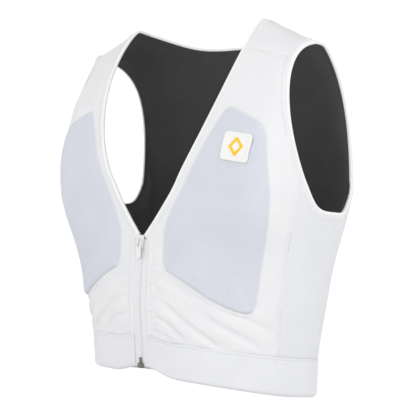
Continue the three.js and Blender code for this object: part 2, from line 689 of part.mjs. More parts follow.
function sliderGeometry() {
  const half = SLIDER.length / 2;
  const { lowHalfWidth, topHalfWidth, topFlat, sunk } = SLIDER;
  const shoulder = half - SLIDER.shoulder;
  const outline = new THREE.Shape();
  outline.moveTo(-lowHalfWidth, -half);
  outline.lineTo(lowHalfWidth, -half);
  outline.quadraticCurveTo(lowHalfWidth, 0, topHalfWidth, shoulder);
  outline.quadraticCurveTo(topHalfWidth, half, topFlat, half);
  outline.lineTo(-topFlat, half);
  outline.quadraticCurveTo(-topHalfWidth, half, -topHalfWidth, shoulder);
  outline.quadraticCurveTo(-lowHalfWidth, 0, -lowHalfWidth, -half);
  const slab = (back, front) =>
    new THREE.ExtrudeGeometry(outline, { depth: front - back, bevelEnabled: false, curveSegments: 3 })
      .rotateX(Math.PI / 2)
      .translate(0, front, 0);
  const chainway = box(
    [-SLIDER.flangeIn, SLIDER.flangeBack - 1, -half - 1],
    [SLIDER.flangeIn, SLIDER.plateBack, half - SLIDER.postLength],
  );
  const front = solidOf(slab(SLIDER.flangeBack, SLIDER.plateFront)).subtract(solidOf(chainway));
  const back = solidOf(slab(SLIDER.backPlateBack, SLIDER.backPlateFront));
  const post = box(
    [-SLIDER.postHalfWidth, SLIDER.backPlateBack + sunk, half - SLIDER.postLength + 2 * sunk],
    [SLIDER.postHalfWidth, SLIDER.plateFront - sunk, half - sunk],
  );
  const arch = new THREE.Shape();
  const foot = SLIDER.plateFront - sunk;
  arch.moveTo(foot, BRIDGE.low);
  arch.lineTo(BRIDGE.front - BRIDGE.round, BRIDGE.low);
  arch.quadraticCurveTo(BRIDGE.front, BRIDGE.low, BRIDGE.front, BRIDGE.low + BRIDGE.round);
  arch.lineTo(BRIDGE.front, BRIDGE.high - BRIDGE.round);
  arch.quadraticCurveTo(BRIDGE.front, BRIDGE.high, BRIDGE.front - BRIDGE.round, BRIDGE.high);
  arch.lineTo(foot, BRIDGE.high);
  const eye = new THREE.Path();
  eye.moveTo(SLIDER.plateFront, BRIDGE.low + BRIDGE.wall);
  eye.lineTo(SLIDER.plateFront, BRIDGE.high - BRIDGE.wall);
  eye.lineTo(BRIDGE.front - BRIDGE.wall, BRIDGE.high - BRIDGE.wall);
  eye.lineTo(BRIDGE.front - BRIDGE.wall, BRIDGE.low + BRIDGE.wall);
  arch.holes.push(eye);
  const bridgeSteps = { depth: 2 * BRIDGE.halfWidth, bevelEnabled: false, curveSegments: 4 };
  const bridge = new THREE.ExtrudeGeometry(arch, bridgeSteps);
  const outUpAcross = new THREE.Matrix4().makeBasis(
    new THREE.Vector3(0, 1, 0),
    new THREE.Vector3(0, 0, 1),
    new THREE.Vector3(1, 0, 0),
  );
  bridge.applyMatrix4(outUpAcross);
  bridge.translate(-BRIDGE.halfWidth, 0, 0);
  return faceFront(geometryOf(front.add(back).add(solidOf(post)).add(solidOf(bridge))));
}

function pullGeometry() {
  const { halfWidth, thick, windowHalf, length, barRadius, round } = PULL;
  const tab = new THREE.Shape();
  tab.moveTo(-halfWidth, 0);
  tab.lineTo(-halfWidth, -length + round);
  tab.quadraticCurveTo(-halfWidth, -length, -halfWidth + round, -length);
  tab.lineTo(halfWidth - round, -length);
  tab.quadraticCurveTo(halfWidth, -length, halfWidth, -length + round);
  tab.lineTo(halfWidth, 0);
  const slab = new THREE.ExtrudeGeometry(tab, { depth: thick, bevelEnabled: false, curveSegments: 4 })
    .rotateX(Math.PI / 2)
    .translate(0, thick / 2, 0);
  const slot = box([-windowHalf, -thick, -PULL.window], [windowHalf, thick, thick]);
  const bar = new THREE.CylinderGeometry(barRadius, barRadius, 2 * halfWidth, 12).rotateZ(Math.PI / 2);
  return faceFront(geometryOf(solidOf(slab).subtract(solidOf(slot)).add(solidOf(bar))));
}

// Badge, a moulded patch with a plain raised lozenge

const badgeWall = () =>
  wall(
    ringSheet(roundedOutline(BADGE_CORNERS, 20), BADGE_CENTRE, [0.5, 1], false),
    level(BADGE.seat + BADGE.thick),
    level(BADGE.seat),
  );

function badgeMarkWall() {
  const size = BADGE.markSize;
  const tips = [[0, size], [size, 0], [0, -size], [-size, 0]];
  const corners = tips.map(([x, y]) => {
    const centre = toPattern(BADGE_CENTRE);
    return { ...toPlace({ x: centre.x + x, y: centre.y + y }), round: 1 };
  });
  const shares = [1 - BADGE.markStroke / size, 1];
  const sheet = ringSheet(roundedOutline(corners, 16), BADGE_CENTRE, shares, true);
  const seat = BADGE.seat + BADGE.thick + GAP;
  return wall(sheet, level(seat + BADGE.markThick), level(seat));
}

// Finishes

const cloth = new THREE.MeshStandardMaterial({ color: 0xf1f1f3, roughness: 0.85 });
const sideCloth = new THREE.MeshStandardMaterial({ color: 0xeaebf0, roughness: 0.85 });
const elastic = new THREE.MeshStandardMaterial({ color: 0xebecf0, roughness: 0.75 });
const trim = new THREE.MeshStandardMaterial({ color: 0xf6f6f8, roughness: 0.7 });
const padFoam = new THREE.MeshStandardMaterial({ color: 0xd9dce5, roughness: 0.8 });
const liningCloth = new THREE.MeshStandardMaterial({ color: 0x303030, roughness: 0.95 });
const zipTape = new THREE.MeshStandardMaterial({ color: 0xe6e7eb, roughness: 0.8 });
const zipPlastic = new THREE.MeshStandardMaterial({ color: 0xf2f3f2, roughness: 0.4 });
const zipMetal = new THREE.MeshStandardMaterial({ color: 0x8a8580, roughness: 0.35, metalness: 0.9 });
const badgeRubber = new THREE.MeshStandardMaterial({ color: 0xf3f3f1, roughness: 0.5 });
const badgeAmber = new THREE.MeshStandardMaterial({ color: 0xffc400, roughness: 0.5 });

// Assembly. The origin is midway between the shoulders, on the ridge where the vest hangs.

const vest = new THREE.Group();
vest.position.set(0, -SHOULDER.ridgeY, -NECK_HEIGHT);

function add(name, geometry, material, parent = vest) {
  const mesh = new THREE.Mesh(geometry, material);
  mesh.name = name;
  parent.add(mesh);
  return mesh;
}

function addPair(name, geometry, material) {
  add(`${name}_left`, geometry, material);
  add(`${name}_right`, geometry, material).scale.x = -1;
}

const clothWall = (sheet, relief) => wall(sheet, level(0), level(-CLOTH), relief);
const frontCloth = clothWall(frontSheet(13, FRONT_RISES, PANEL_INSET, SEAM_GAP), foldHeight);
const frontWithWindow = geometryOf(solidOf(frontCloth).subtract(solidOf(padWindowWall())));
addPair("front_panel", frontWithWindow, cloth);
addPair("side_panel", clothWall(sideSheet(2 * UNDERARM_STEPS, 6, PANEL_INSET, SEAM_GAP)), sideCloth);
add("back_panel", clothWall(backSheet(4, BACK_RISES, STRAP_RISES, PANEL_INSET, SEAM_GAP)), cloth);
addPair("chest_pad", padWall(), padFoam);

const liningInset = BINDING.width + LINING_EDGE;
const liningGap = LINING_EDGE / PATTERN_PER_DEGREE;
const frontLining = frontSheet(6, LINING_FRONT_RISES, liningInset, liningGap);
const backLining = backSheet(3, BACK_RISES, LINING_STRAP_RISES, liningInset, liningGap);
addPair("lining_front", liningWall(frontLining, padPocket), liningCloth);
addPair("lining_side", liningWall(sideSheet(8, 5, liningInset, liningGap)), liningCloth);
add("lining_back", liningWall(backLining), liningCloth);
add("neck_binding", neckBindingWall(), trim);
addPair("armhole_binding", armholeBindingWall(), trim);
add("waistband", waistbandWall(), elastic);
add("badge", badgeWall(), badgeRubber);
add("badge_mark", badgeMarkWall(), badgeAmber);

addPair("zip_tape", zipTapeWall(), zipTape);
add("zip_chain", zipChainWall(), zipPlastic);

// A group on the centre front line at a rise, leaning with the form.
function onZip(rise) {
  const group = new THREE.Group();
  const normal = formNormal({ turn: 0, rise });
  group.position.copy(formPoint({ turn: 0, rise }));
  group.rotation.x = Math.atan2(-normal.z, -normal.y);
  vest.add(group);
  return group;
}

const slider = onZip(ZIP_TOP_RISE - (SLIDER.length / 2 + 0.6) / ARMPIT_HEIGHT);
add("zip_slider", sliderGeometry(), zipPlastic, slider);
const pull = new THREE.Group();
pull.position.set(0, -PULL.pivotOut, PULL.pivotZ);
add("zip_pull", pullGeometry(), zipPlastic, pull);
slider.add(pull);

const zipEnd = onZip(ZIP_BOX.height / ARMPIT_HEIGHT);
const pinTop = GAP + ZIP_PIN.height;
const boxLow = [-ZIP_BOX.halfWidth, ZIP_BOX.back, -ZIP_BOX.height];
const boxHigh = [ZIP_BOX.halfWidth, ZIP_BOX.front, 0];
add("zip_box", faceFront(box(boxLow, boxHigh)), zipMetal, zipEnd);
const pinLow = [-ZIP_PIN.halfWidth, ZIP_PIN.back, GAP];
const pinHigh = [ZIP_PIN.halfWidth, ZIP_PIN.front, pinTop];
add("zip_pin", faceFront(box(pinLow, pinHigh)), zipMetal, zipEnd);

const part = new THREE.Group();
part.add(vest);

export default part;
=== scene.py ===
# %% [markdown]
# # A riding protector vest
# A cropped, sleeveless vest of white stretch knit with a deep V neck, a front zip, soft chest pads and a
# dark lining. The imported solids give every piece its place. This lesson dresses them: each cloth piece is
# drawn again as a fine sheet on the same torso form, and gets its seams, stitches, folds and finish.

# %% Open the frame
import math

import bpy
import numpy as np
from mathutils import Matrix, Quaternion, Vector
from mathutils.kdtree import KDTree


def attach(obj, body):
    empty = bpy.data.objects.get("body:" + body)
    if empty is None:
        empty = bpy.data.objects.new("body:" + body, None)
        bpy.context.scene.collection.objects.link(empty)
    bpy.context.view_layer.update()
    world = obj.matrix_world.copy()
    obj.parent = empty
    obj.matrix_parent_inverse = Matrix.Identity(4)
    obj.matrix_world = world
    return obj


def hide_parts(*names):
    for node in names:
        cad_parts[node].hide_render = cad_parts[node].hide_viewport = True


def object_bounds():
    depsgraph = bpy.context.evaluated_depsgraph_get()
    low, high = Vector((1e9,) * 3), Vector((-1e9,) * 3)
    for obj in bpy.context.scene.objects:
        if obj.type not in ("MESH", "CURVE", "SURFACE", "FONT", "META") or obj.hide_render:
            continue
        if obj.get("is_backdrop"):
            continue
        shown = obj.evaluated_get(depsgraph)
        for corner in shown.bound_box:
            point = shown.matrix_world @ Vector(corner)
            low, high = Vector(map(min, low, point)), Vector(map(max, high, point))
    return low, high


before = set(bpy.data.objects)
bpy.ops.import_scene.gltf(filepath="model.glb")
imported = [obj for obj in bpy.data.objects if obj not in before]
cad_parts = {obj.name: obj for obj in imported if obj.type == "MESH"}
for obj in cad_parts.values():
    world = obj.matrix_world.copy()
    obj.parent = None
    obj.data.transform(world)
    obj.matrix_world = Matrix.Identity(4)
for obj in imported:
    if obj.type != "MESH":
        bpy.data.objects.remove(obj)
cad_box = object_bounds()
scene = bpy.context.scene
MM = 0.001
BODY = "vest"

# %% [markdown]
# ## The torso form
# A tailor fits cloth on a dress form. Here the form is a function: a turn round the body in degrees and a
# rise (0 at the hem, 1 at the armpits, 2 on the shoulder ridge) give a point. Sculpting it by hand would
# also work, but a function lets every sheet, seam and stitch line find its place on the same surface.

# %% Sizes of the form, in millimetres
ARMPIT_HEIGHT = 220.0
NECK_HEIGHT = 389.0
SECTION_SQUARENESS = 0.88
TORSO = {
    "height": [0, 40, 90, 140, 185, 220],
    "half_width": [131, 134.5, 143.5, 151.5, 162, 166.5],
    "front_depth": [92.5, 97, 102.5, 102.5, 105, 108],
    "back_depth": [106, 99, 95.5, 99, 106, 114],
}
SHOULDER_HALF_WIDTH = 174.0
RIDGE_Y = -35.0
RIDGE = {"lift": 3.0, "round": 1.6, "reach": 11.0, "inner": 95.0, "outer": 150.0, "power": 8}
NECK_CORNER = {"lift": 3.2, "inner": 90.0, "outer": 112.0, "reach": 13.0}
SHOULDER_TIP = {"from": 145.0, "ease": 8.0, "lift": 0.14}
FRONT_ROUND = 1.37
BACK_ROUND = 2.45
SHOULDER_SLOPE_FROM = 87.0
SHOULDER_SLOPE = 0.38
SHOULDER_EASE = 20.0
BUST = {"swell": 25.5, "turn": 57, "spread": 23.4, "height": 209, "above": 120, "below": 87}
BUST_FORWARD = 0.93
BUST_OUTWARD = 0.37
FRONT_LIFT = 12.0
ZIP_LIFT = {"height": 9.0, "spread": 10.0, "reach": 70.0}
NECK = {"start_x": 3.0, "half_width": 91.8, "curve": 2.26, "back_drop": 16.8, "back_curve": 3.67}
SHIFT = np.array([0.0, -RIDGE_Y, -NECK_HEIGHT])
print("the shoulder ridge lies", NECK_HEIGHT, "mm above the hem")

# %% [markdown]
# The form is worked out with a few small curves: one that runs smoothly through the rows of a table, a soft
# step from one value to another, a bell-shaped hump, and a plain mix of two values. They take whole arrays.

# %% Curves for the form
def through(heights, values, at, last_slope=0.0):
    """Cubic curve through a table's rows, with each slope taken from the row's neighbours."""
    h = np.asarray(heights, float)
    v = np.asarray(values, float)
    slopes = np.empty_like(v)
    slopes[0] = (v[1] - v[0]) / (h[1] - h[0])
    slopes[1:-1] = (v[2:] - v[:-2]) / (h[2:] - h[:-2])
    slopes[-1] = last_slope
    i = np.clip(np.searchsorted(h, at), 1, len(h) - 1)
    span = h[i] - h[i - 1]
    t = np.clip((at - h[i - 1]) / span, 0, 1)
    low = v[i - 1] * (2 * t**3 - 3 * t**2 + 1) + slopes[i - 1] * span * (t**3 - 2 * t**2 + t)
    high = v[i] * (3 * t**2 - 2 * t**3) + slopes[i] * span * (t**3 - t**2)
    return low + high


def smooth(low, high, value):
    t = np.clip((value - low) / (high - low), 0, 1)
    return t * t * (3 - 2 * t)


def hump(value, centre, width):
    """A bell-shaped bump: 1 at the centre, dying out on both sides."""
    return np.exp(-(((value - centre) / width) ** 2))


def mix(a, b, share):
    return a + (b - a) * share


def climb_at(rise):
    return np.sin(np.clip(np.asarray(rise, float) - 1, 0, 1) * np.pi / 2)


def half_width_at(rise):
    torso = through(TORSO["height"], TORSO["half_width"], np.clip(rise, 0, 1) * ARMPIT_HEIGHT)
    return mix(torso, SHOULDER_HALF_WIDTH, climb_at(rise))


def turn_at_x(x, rise):
    across = np.clip(x / half_width_at(rise), 0, 1)
    return np.degrees(np.arcsin(across ** (1 / SECTION_SQUARENESS)))


print("half width at the armpits:", round(float(half_width_at(1.0)), 1), "mm")

# %% [markdown]
# The trunk is a rounded oval at each height, and it closes over the shoulders. The bust, the slope of the
# shoulders, the neck corners and the lift of the hem at the zip are then added to it one by one.

# %% Surface of the form
def shoulder_drop(x):
    def past(beyond, ease):
        return (beyond + np.hypot(beyond, ease)) / 2

    out = np.abs(x)
    middle = past(-SHOULDER_SLOPE_FROM, SHOULDER_EASE)
    slope = SHOULDER_SLOPE * (past(out - SHOULDER_SLOPE_FROM, SHOULDER_EASE) - middle)
    return slope - SHOULDER_TIP["lift"] * past(out - SHOULDER_TIP["from"], SHOULDER_TIP["ease"])


def form_point(turn, rise):
    """Points of the form, in millimetres in the row frame, as an array with a last axis of three."""
    turn, rise = np.broadcast_arrays(np.asarray(turn, float), np.asarray(rise, float))
    angle = np.radians(turn)
    climb = climb_at(rise)
    height = np.clip(rise, 0, 1) * ARMPIT_HEIGHT
    lean = RIDGE_Y / (NECK_HEIGHT - ARMPIT_HEIGHT)
    front = through(TORSO["height"], TORSO["front_depth"], height, -lean)
    back = through(TORSO["height"], TORSO["back_depth"], height, lean)
    front = front * np.maximum(1 - climb**FRONT_ROUND, 0) ** (1 / FRONT_ROUND)
    back = back * np.maximum(1 - climb**BACK_ROUND, 0) ** (1 / BACK_ROUND)
    across = np.sign(np.sin(angle)) * np.abs(np.sin(angle)) ** SECTION_SQUARENESS
    along = np.abs(np.cos(angle)) ** SECTION_SQUARENESS
    x = half_width_at(rise) * across
    y = RIDGE_Y * climb + np.where(np.cos(angle) > 0, -front, back) * along
    z = height + (NECK_HEIGHT - ARMPIT_HEIGHT) * climb
    from_centre = np.abs(np.degrees(np.arctan2(np.sin(angle), np.cos(angle))))
    above = z - BUST["height"]
    reach = np.where(above > 0, BUST["above"], BUST["below"])
    bell = np.exp(-(((from_centre - BUST["turn"]) / BUST["spread"]) ** 2) - (above / reach) ** 2)
    swell = BUST["swell"] * (1 - climb**4) * bell
    x = x + swell * BUST_OUTWARD * np.sign(across)
    y = y - swell * BUST_FORWARD
    z = z - shoulder_drop(x) * climb**2
    rounded = RIDGE["round"] * hump(y, RIDGE_Y, RIDGE["reach"])
    lifted = RIDGE["lift"] * smooth(RIDGE["outer"], RIDGE["inner"], np.abs(x))
    corner = NECK_CORNER["lift"] * smooth(NECK_CORNER["outer"], NECK_CORNER["inner"], np.abs(x))
    corner = corner * hump(y, RIDGE_Y, NECK_CORNER["reach"])
    z = z + (lifted + corner - rounded) * climb ** RIDGE["power"]
    lift = FRONT_LIFT * np.cos(angle) * np.clip(1 - z / ARMPIT_HEIGHT, 0, 1)
    near_zip = hump(from_centre, 0, ZIP_LIFT["spread"])
    zip_lift = ZIP_LIFT["height"] * near_zip * np.clip(1 - z / ZIP_LIFT["reach"], 0, 1)
    return np.stack([x, y, z + lift + zip_lift], -1) + SHIFT


print("form at the centre front hem:", np.round(form_point(0, 0), 1))

# %% [markdown]
# Cloth has a thickness, so every sheet also needs to know which way is out. That direction is measured with
# two small steps on the form, and eased over the ridge, where the front and the back meet at an angle.

# %% Outward directions
TURN_STEP = 0.4
RISE_STEP = 0.004
RIDGE_RISE = 1.985
RIDGE_FROM = 1.86


def unit(vectors):
    return vectors / np.linalg.norm(vectors, axis=-1, keepdims=True)


def plain_normal(turn, rise):
    round_step = form_point(turn + TURN_STEP, rise) - form_point(turn - TURN_STEP, rise)
    up_step = form_point(turn, rise + RISE_STEP) - form_point(turn, rise - RISE_STEP)
    return unit(np.cross(round_step, up_step))


def form_normal(turn, rise):
    """Outward normals of the form, eased over the shoulder ridge so that a sheet bends smoothly there."""
    turn, rise = np.broadcast_arrays(np.asarray(turn, float), np.asarray(rise, float))
    own = plain_normal(turn, np.minimum(rise, RIDGE_RISE))
    behind = np.where(np.cos(np.radians(turn)) > 0, 180 - turn, turn)
    ridge = plain_normal(behind, np.full(turn.shape, RIDGE_RISE))
    return unit(mix(own, ridge, smooth(RIDGE_FROM, 2, rise)[..., None]))


print("outward at the centre front hem:", np.round(form_normal(0.0, 0.0), 2))

# %% [markdown]
# ## Camera
# The camera is set first. Its place, its long lens and its small tilt were found by matching the form's
# outline to the picture.

# %% Camera
CAMERA_PLACE = (898.0, -939.9, -210.8)
CAMERA_TARGET = (-2.0, 33.2, -197.8)
CAMERA_LENS = 103.84
CAMERA_ROLL = 3.12
CAMERA_SENSOR = 36.0
camera = bpy.data.objects.new("camera", bpy.data.cameras.new("camera"))
scene.collection.objects.link(camera)
camera.location = Vector(CAMERA_PLACE) * MM
sight = (Vector(CAMERA_TARGET) - Vector(CAMERA_PLACE)).to_track_quat("-Z", "Y")
camera.rotation_mode = "QUATERNION"
camera.rotation_quaternion = sight @ Quaternion((0, 0, 1), math.radians(CAMERA_ROLL))
camera.data.lens = CAMERA_LENS
camera.data.sensor_width = CAMERA_SENSOR
scene.camera = camera
print("camera is", round((Vector(CAMERA_PLACE) - Vector(CAMERA_TARGET)).length), "mm away")

# %% [markdown]
# ## Studio
# The light of the picture is soft and even. A pale bowl of a floor that runs up into its own backdrop gives
# such light from all sides and shows no horizon. Two large soft lamps in front add the little shade that
# lets the pads and the folds be read.

# %% Floor, world and lamps
FLOOR_DROP = 0.42
BOWL_RADIUS = 3.2
BOWL_HEIGHT = 3.0
BOWL_BEND = 1.4
BOWL_STEPS = 64
BEND_STEPS = 13
FLOOR_GREY = 0.8
BACKDROP_GREY = 0.9
BACKDROP_GLOW = 0.27
PAPER_ROUGHNESS = 0.9
WORLD_LIGHT = 0.62
LAMP_TARGET = (0, 0.03, -0.2)
LAMPS = [
    {"name": "front_lamp", "place": (0.5, -1.85, 0.5), "size": 1.3, "energy": 5.2},
    {"name": "side_lamp", "place": (1.9, -0.35, 0.25), "size": 1.3, "energy": 5.0},
]
scene.view_settings.view_transform = "Standard"


def make_floor():
    bend = np.linspace(0, np.pi / 2, BEND_STEPS)
    flat = BOWL_RADIUS - BOWL_BEND
    profile = [(0.0, 0.0), (flat * 0.5, 0.0)]
    profile += [(flat + BOWL_BEND * math.sin(a), BOWL_BEND * (1 - math.cos(a))) for a in bend]
    profile.append((BOWL_RADIUS, BOWL_HEIGHT))
    steps = BOWL_STEPS
    points = []
    for radius, height in profile[1:]:
        for k in range(steps):
            a = 2 * math.pi * k / steps
            points.append((radius * math.cos(a), radius * math.sin(a), height))
    faces = [tuple(range(steps))]
    for ring in range(len(profile) - 2):
        for k in range(steps):
            a = ring * steps + k
            b = ring * steps + (k + 1) % steps
            faces.append((a, a + steps, b + steps, b))
    mesh = bpy.data.meshes.new("floor")
    low = cad_box[0].z - FLOOR_DROP
    mesh.from_pydata([(x, y, z + low) for x, y, z in points], [], faces)
    mesh.shade_smooth()
    floor = bpy.data.objects.new("floor", mesh)
    scene.collection.objects.link(floor)
    mesh.materials.append(paper("floor_white", FLOOR_GREY, 0.0))
    mesh.materials.append(paper("backdrop_white", BACKDROP_GREY, BACKDROP_GLOW))
    for face in mesh.polygons:
        face.material_index = 0 if face.index <= steps else 1
    floor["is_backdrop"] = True


def paper(name, grey, glow):
    material = bpy.data.materials.new(name)
    material.use_nodes = True
    shader = material.node_tree.nodes["Principled BSDF"]
    shader.inputs["Base Color"].default_value = (grey, grey, grey, 1)
    shader.inputs["Roughness"].default_value = PAPER_ROUGHNESS
    shader.inputs["Emission Color"].default_value = (1, 1, 1, 1)
    shader.inputs["Emission Strength"].default_value = glow
    return material


def make_lamp(name, place, size, energy):
    lamp = bpy.data.objects.new(name, bpy.data.lights.new(name, "AREA"))
    scene.collection.objects.link(lamp)
    lamp.location = place
    lamp.rotation_euler = (Vector(LAMP_TARGET) - Vector(place)).to_track_quat("-Z", "Y").to_euler()
    lamp.data.shape = "DISK"
    lamp.data.size = size
    lamp.data.energy = energy


make_floor()
scene.world = scene.world or bpy.data.worlds.new("studio")
scene.world.use_nodes = True
background = scene.world.node_tree.nodes["Background"]
background.inputs["Color"].default_value = (1, 1, 1, 1)
background.inputs["Strength"].default_value = WORLD_LIGHT
for lamp in LAMPS:
    make_lamp(lamp["name"], lamp["place"], lamp["size"], lamp["energy"])
print("floor lies", FLOOR_DROP, "m below the hem")

# %% [markdown]
# ## Building helpers
# A sheet is a grid of places on the form with a distance from it. Its UV map is the flat pattern, in
# metres, so that a weave keeps its scale and follows the cloth. A Solidify modifier gives it thickness,
# and a Bevel rounds the cut edge.

# %% Sheet helper
PATTERN_PER_DEGREE = 2.3
SIDES = ((1, "left"), (-1, "right"))
CLOTH_EDGE = 0.3
CLOTH_EDGE_ANGLE = 50


def to_pattern(turn, rise):
    return np.stack([np.asarray(turn) * PATTERN_PER_DEGREE, np.asarray(rise) * ARMPIT_HEIGHT], -1)


def from_pattern(pattern):
    return pattern[..., 0] / PATTERN_PER_DEGREE, pattern[..., 1] / ARMPIT_HEIGHT


def on_form(turn, rise, offset):
    """Points at a distance from the form, straight out of it."""
    return form_point(turn, rise) + form_normal(turn, rise) * np.asarray(offset)[..., None]


def run_along(points):
    """How far along a line of points each one lies, from 0 at the start."""
    return np.concatenate([[0], np.cumsum(np.linalg.norm(np.diff(points, axis=0), axis=1))])


def mesh_object(name, points, faces, uv, material):
    """A smooth mesh from points in millimetres. UV holds a pattern place in millimetres for each point."""
    mesh = bpy.data.meshes.new(name)
    mesh.from_pydata((points * MM).tolist(), [], faces)
    layer = mesh.uv_layers.new(name="pattern")
    corners = np.empty(len(mesh.loops), np.int32)
    mesh.loops.foreach_get("vertex_index", corners)
    layer.data.foreach_set("uv", (uv[corners] * MM).astype(np.float32).ravel())
    mesh.materials.append(material)
    mesh.shade_smooth()
    made = bpy.data.objects.new(name, mesh)
    scene.collection.objects.link(made)
    return made


def grid_faces(rows, columns, closed=False, flip=False):
    across = np.arange(columns if closed else columns - 1)
    row, column = np.meshgrid(np.arange(rows - 1), across, indexing="ij")
    a = row * columns + column
    b = row * columns + (column + 1) % columns
    quads = np.stack([a, b, b + columns, a + columns], -1).reshape(-1, 4)
    return (quads[:, ::-1] if flip else quads).tolist()


def cloth_sheet(name, turn, rise, offset, material, side=1):
    """A grid sheet. Rows go up, columns go round to the left, and side -1 mirrors it to the right."""
    points = on_form(turn, rise, offset) * np.array([side, 1, 1])
    uv = to_pattern(turn, rise) * np.array([side, 1])
    rows, columns = turn.shape
    faces = grid_faces(rows, columns, flip=side < 0)
    return mesh_object(name, points.reshape(-1, 3), faces, uv.reshape(-1, 2), material)


def round_edges(piece, width, angle):
    bevel = piece.modifiers.new("round_edges", "BEVEL")
    bevel.width = width * MM
    bevel.segments = 2
    bevel.limit_method = "ANGLE"
    bevel.angle_limit = math.radians(angle)
    return bevel


def thicken(piece, thickness, edge=CLOTH_EDGE):
    solidify = piece.modifiers.new("thickness", "SOLIDIFY")
    solidify.thickness = thickness * MM
    solidify.offset = -1
    round_edges(piece, edge, CLOTH_EDGE_ANGLE)
    return piece


def settle(piece, node, body=BODY):
    """Attaches the piece to the body it moves with and hides the solid that it stands for."""
    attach(piece, body)
    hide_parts(node)
    return piece


def sew_in(piece, node):
    """Settles a sheet and prints its area in square metres."""
    settle(piece, node)
    print(piece.name, "area", round(sum(face.area for face in piece.data.polygons), 4), "m2")


print("pattern: one degree is", PATTERN_PER_DEGREE, "mm")

# %% [markdown]
# ## Finishes
# Seen close, the vest is knitted: tiny columns of loops like a stack of Vs. One shader group makes that
# knit for every cloth, and each material gives it a pitch and a depth. A second group gives the slow
# mottle that keeps a large white surface from looking like plastic. Painting these would need pictures,
# and nodes need none and stay sharp at any size.

# %% Node helpers
def new_node(tree, kind, **settings):
    made = tree.nodes.new(kind)
    for name, value in settings.items():
        setattr(made, name, value)
    return made


def math_node(tree, operation, a, b=None):
    """A Math node. Each of a and b is a number or another node's output."""
    made = new_node(tree, "ShaderNodeMath", operation=operation)
    for socket, value in zip(made.inputs, (a, b)):
        if value is None:
            continue
        if isinstance(value, (int, float)):
            socket.default_value = value
        else:
            tree.links.new(value, socket)
    return made.outputs[0]


def new_group(name, inputs, outputs):
    group = bpy.data.node_groups.new(name, "ShaderNodeTree")
    for title, kind, value in inputs:
        socket = group.interface.new_socket(title, in_out="INPUT", socket_type=kind)
        if value is not None:
            socket.default_value = value
    for title, kind in outputs:
        group.interface.new_socket(title, in_out="OUTPUT", socket_type=kind)
    return group, new_node(group, "NodeGroupInput"), new_node(group, "NodeGroupOutput")

# %% [markdown]
# ### Knit
# A knitted loop looks like a V. The pattern is cut into columns, and in each column a slanting wave rises
# towards both sides, so that the crests meet as Vs. It is only bump, because a loop is about 1 mm wide.

# %% Knit group
COURSES_PER_WALE = 1.35


def make_knit_group():
    """Columns of V-shaped loops. Pattern is the UV in metres, Pitch the width of one loop in metres."""
    inputs = [("Pattern", "NodeSocketVector", None), ("Pitch", "NodeSocketFloat", 0.001)]
    group, given, out = new_group("knit", inputs, [("Height", "NodeSocketFloat")])
    split = new_node(group, "ShaderNodeSeparateXYZ")
    group.links.new(given.outputs["Pattern"], split.inputs[0])
    wale = math_node(group, "DIVIDE", split.outputs["X"], given.outputs["Pitch"])
    course = math_node(group, "DIVIDE", split.outputs["Y"], given.outputs["Pitch"])
    within = math_node(group, "FRACT", wale)
    from_middle = math_node(group, "ABSOLUTE", math_node(group, "SUBTRACT", within, 0.5))
    slant = math_node(group, "SUBTRACT", math_node(group, "MULTIPLY", course, COURSES_PER_WALE), from_middle)
    crests = math_node(group, "SINE", math_node(group, "MULTIPLY", slant, math.pi))
    loops = math_node(group, "ABSOLUTE", crests)
    legs = math_node(group, "SINE", math_node(group, "MULTIPLY", from_middle, 2 * math.pi))
    fullness = math_node(group, "SQRT", math_node(group, "ABSOLUTE", legs))
    height = math_node(group, "MULTIPLY", loops, fullness)
    group.links.new(height, out.inputs["Height"])
    return group

# %% [markdown]
# ### Rib
# Elastic, tape and binding are woven, with ribs along the band and fine threads across it. Two waves at
# right angles give that, and each material says how wide its ribs and threads are.

# %% Rib group
CROSS_THREAD_SHARE = 0.45


def make_rib_group():
    """Woven elastic or tape: raised ribs along the band, crossed by fine threads."""
    inputs = [
        ("Pattern", "NodeSocketVector", None),
        ("Rib", "NodeSocketFloat", 0.0012),
        ("Thread", "NodeSocketFloat", 0.0007),
    ]
    group, given, out = new_group("rib", inputs, [("Height", "NodeSocketFloat")])
    split = new_node(group, "ShaderNodeSeparateXYZ")
    group.links.new(given.outputs["Pattern"], split.inputs[0])

    def wave(coordinate, pitch):
        turns = math_node(group, "DIVIDE", coordinate, pitch)
        swing = math_node(group, "SINE", math_node(group, "MULTIPLY", turns, math.pi))
        return math_node(group, "ABSOLUTE", swing)

    ribs = wave(split.outputs["Y"], given.outputs["Rib"])
    threads = wave(split.outputs["X"], given.outputs["Thread"])
    height = math_node(group, "ADD", ribs, math_node(group, "MULTIPLY", threads, CROSS_THREAD_SHARE))
    group.links.new(height, out.inputs["Height"])
    return group

# %% [markdown]
# ### Mottle
# White cloth is never one flat white. A slow noise and a finer one together make a mask, which the materials
# use to drift between two near shades.

# %% Mottle group
MOTTLE_LAYERS = [{"finer": 1.0, "share": 0.7}, {"finer": 9.0, "share": 0.3}]


def make_mottle_group():
    """A slow and a fine noise together, for small differences of colour."""
    inputs = [("Size", "NodeSocketFloat", 0.03)]
    group, given, out = new_group("mottle", inputs, [("Mask", "NodeSocketFloat")])
    place = new_node(group, "ShaderNodeTexCoord")
    frequency = math_node(group, "DIVIDE", 1.0, given.outputs["Size"])
    masks = []
    for layer in MOTTLE_LAYERS:
        noise = new_node(group, "ShaderNodeTexNoise")
        noise.inputs["Detail"].default_value = 3.0
        group.links.new(place.outputs["Object"], noise.inputs["Vector"])
        group.links.new(math_node(group, "MULTIPLY", frequency, layer["finer"]), noise.inputs["Scale"])
        masks.append(math_node(group, "MULTIPLY", noise.outputs["Fac"], layer["share"]))
    group.links.new(math_node(group, "ADD", *masks), out.inputs["Mask"])
    return group


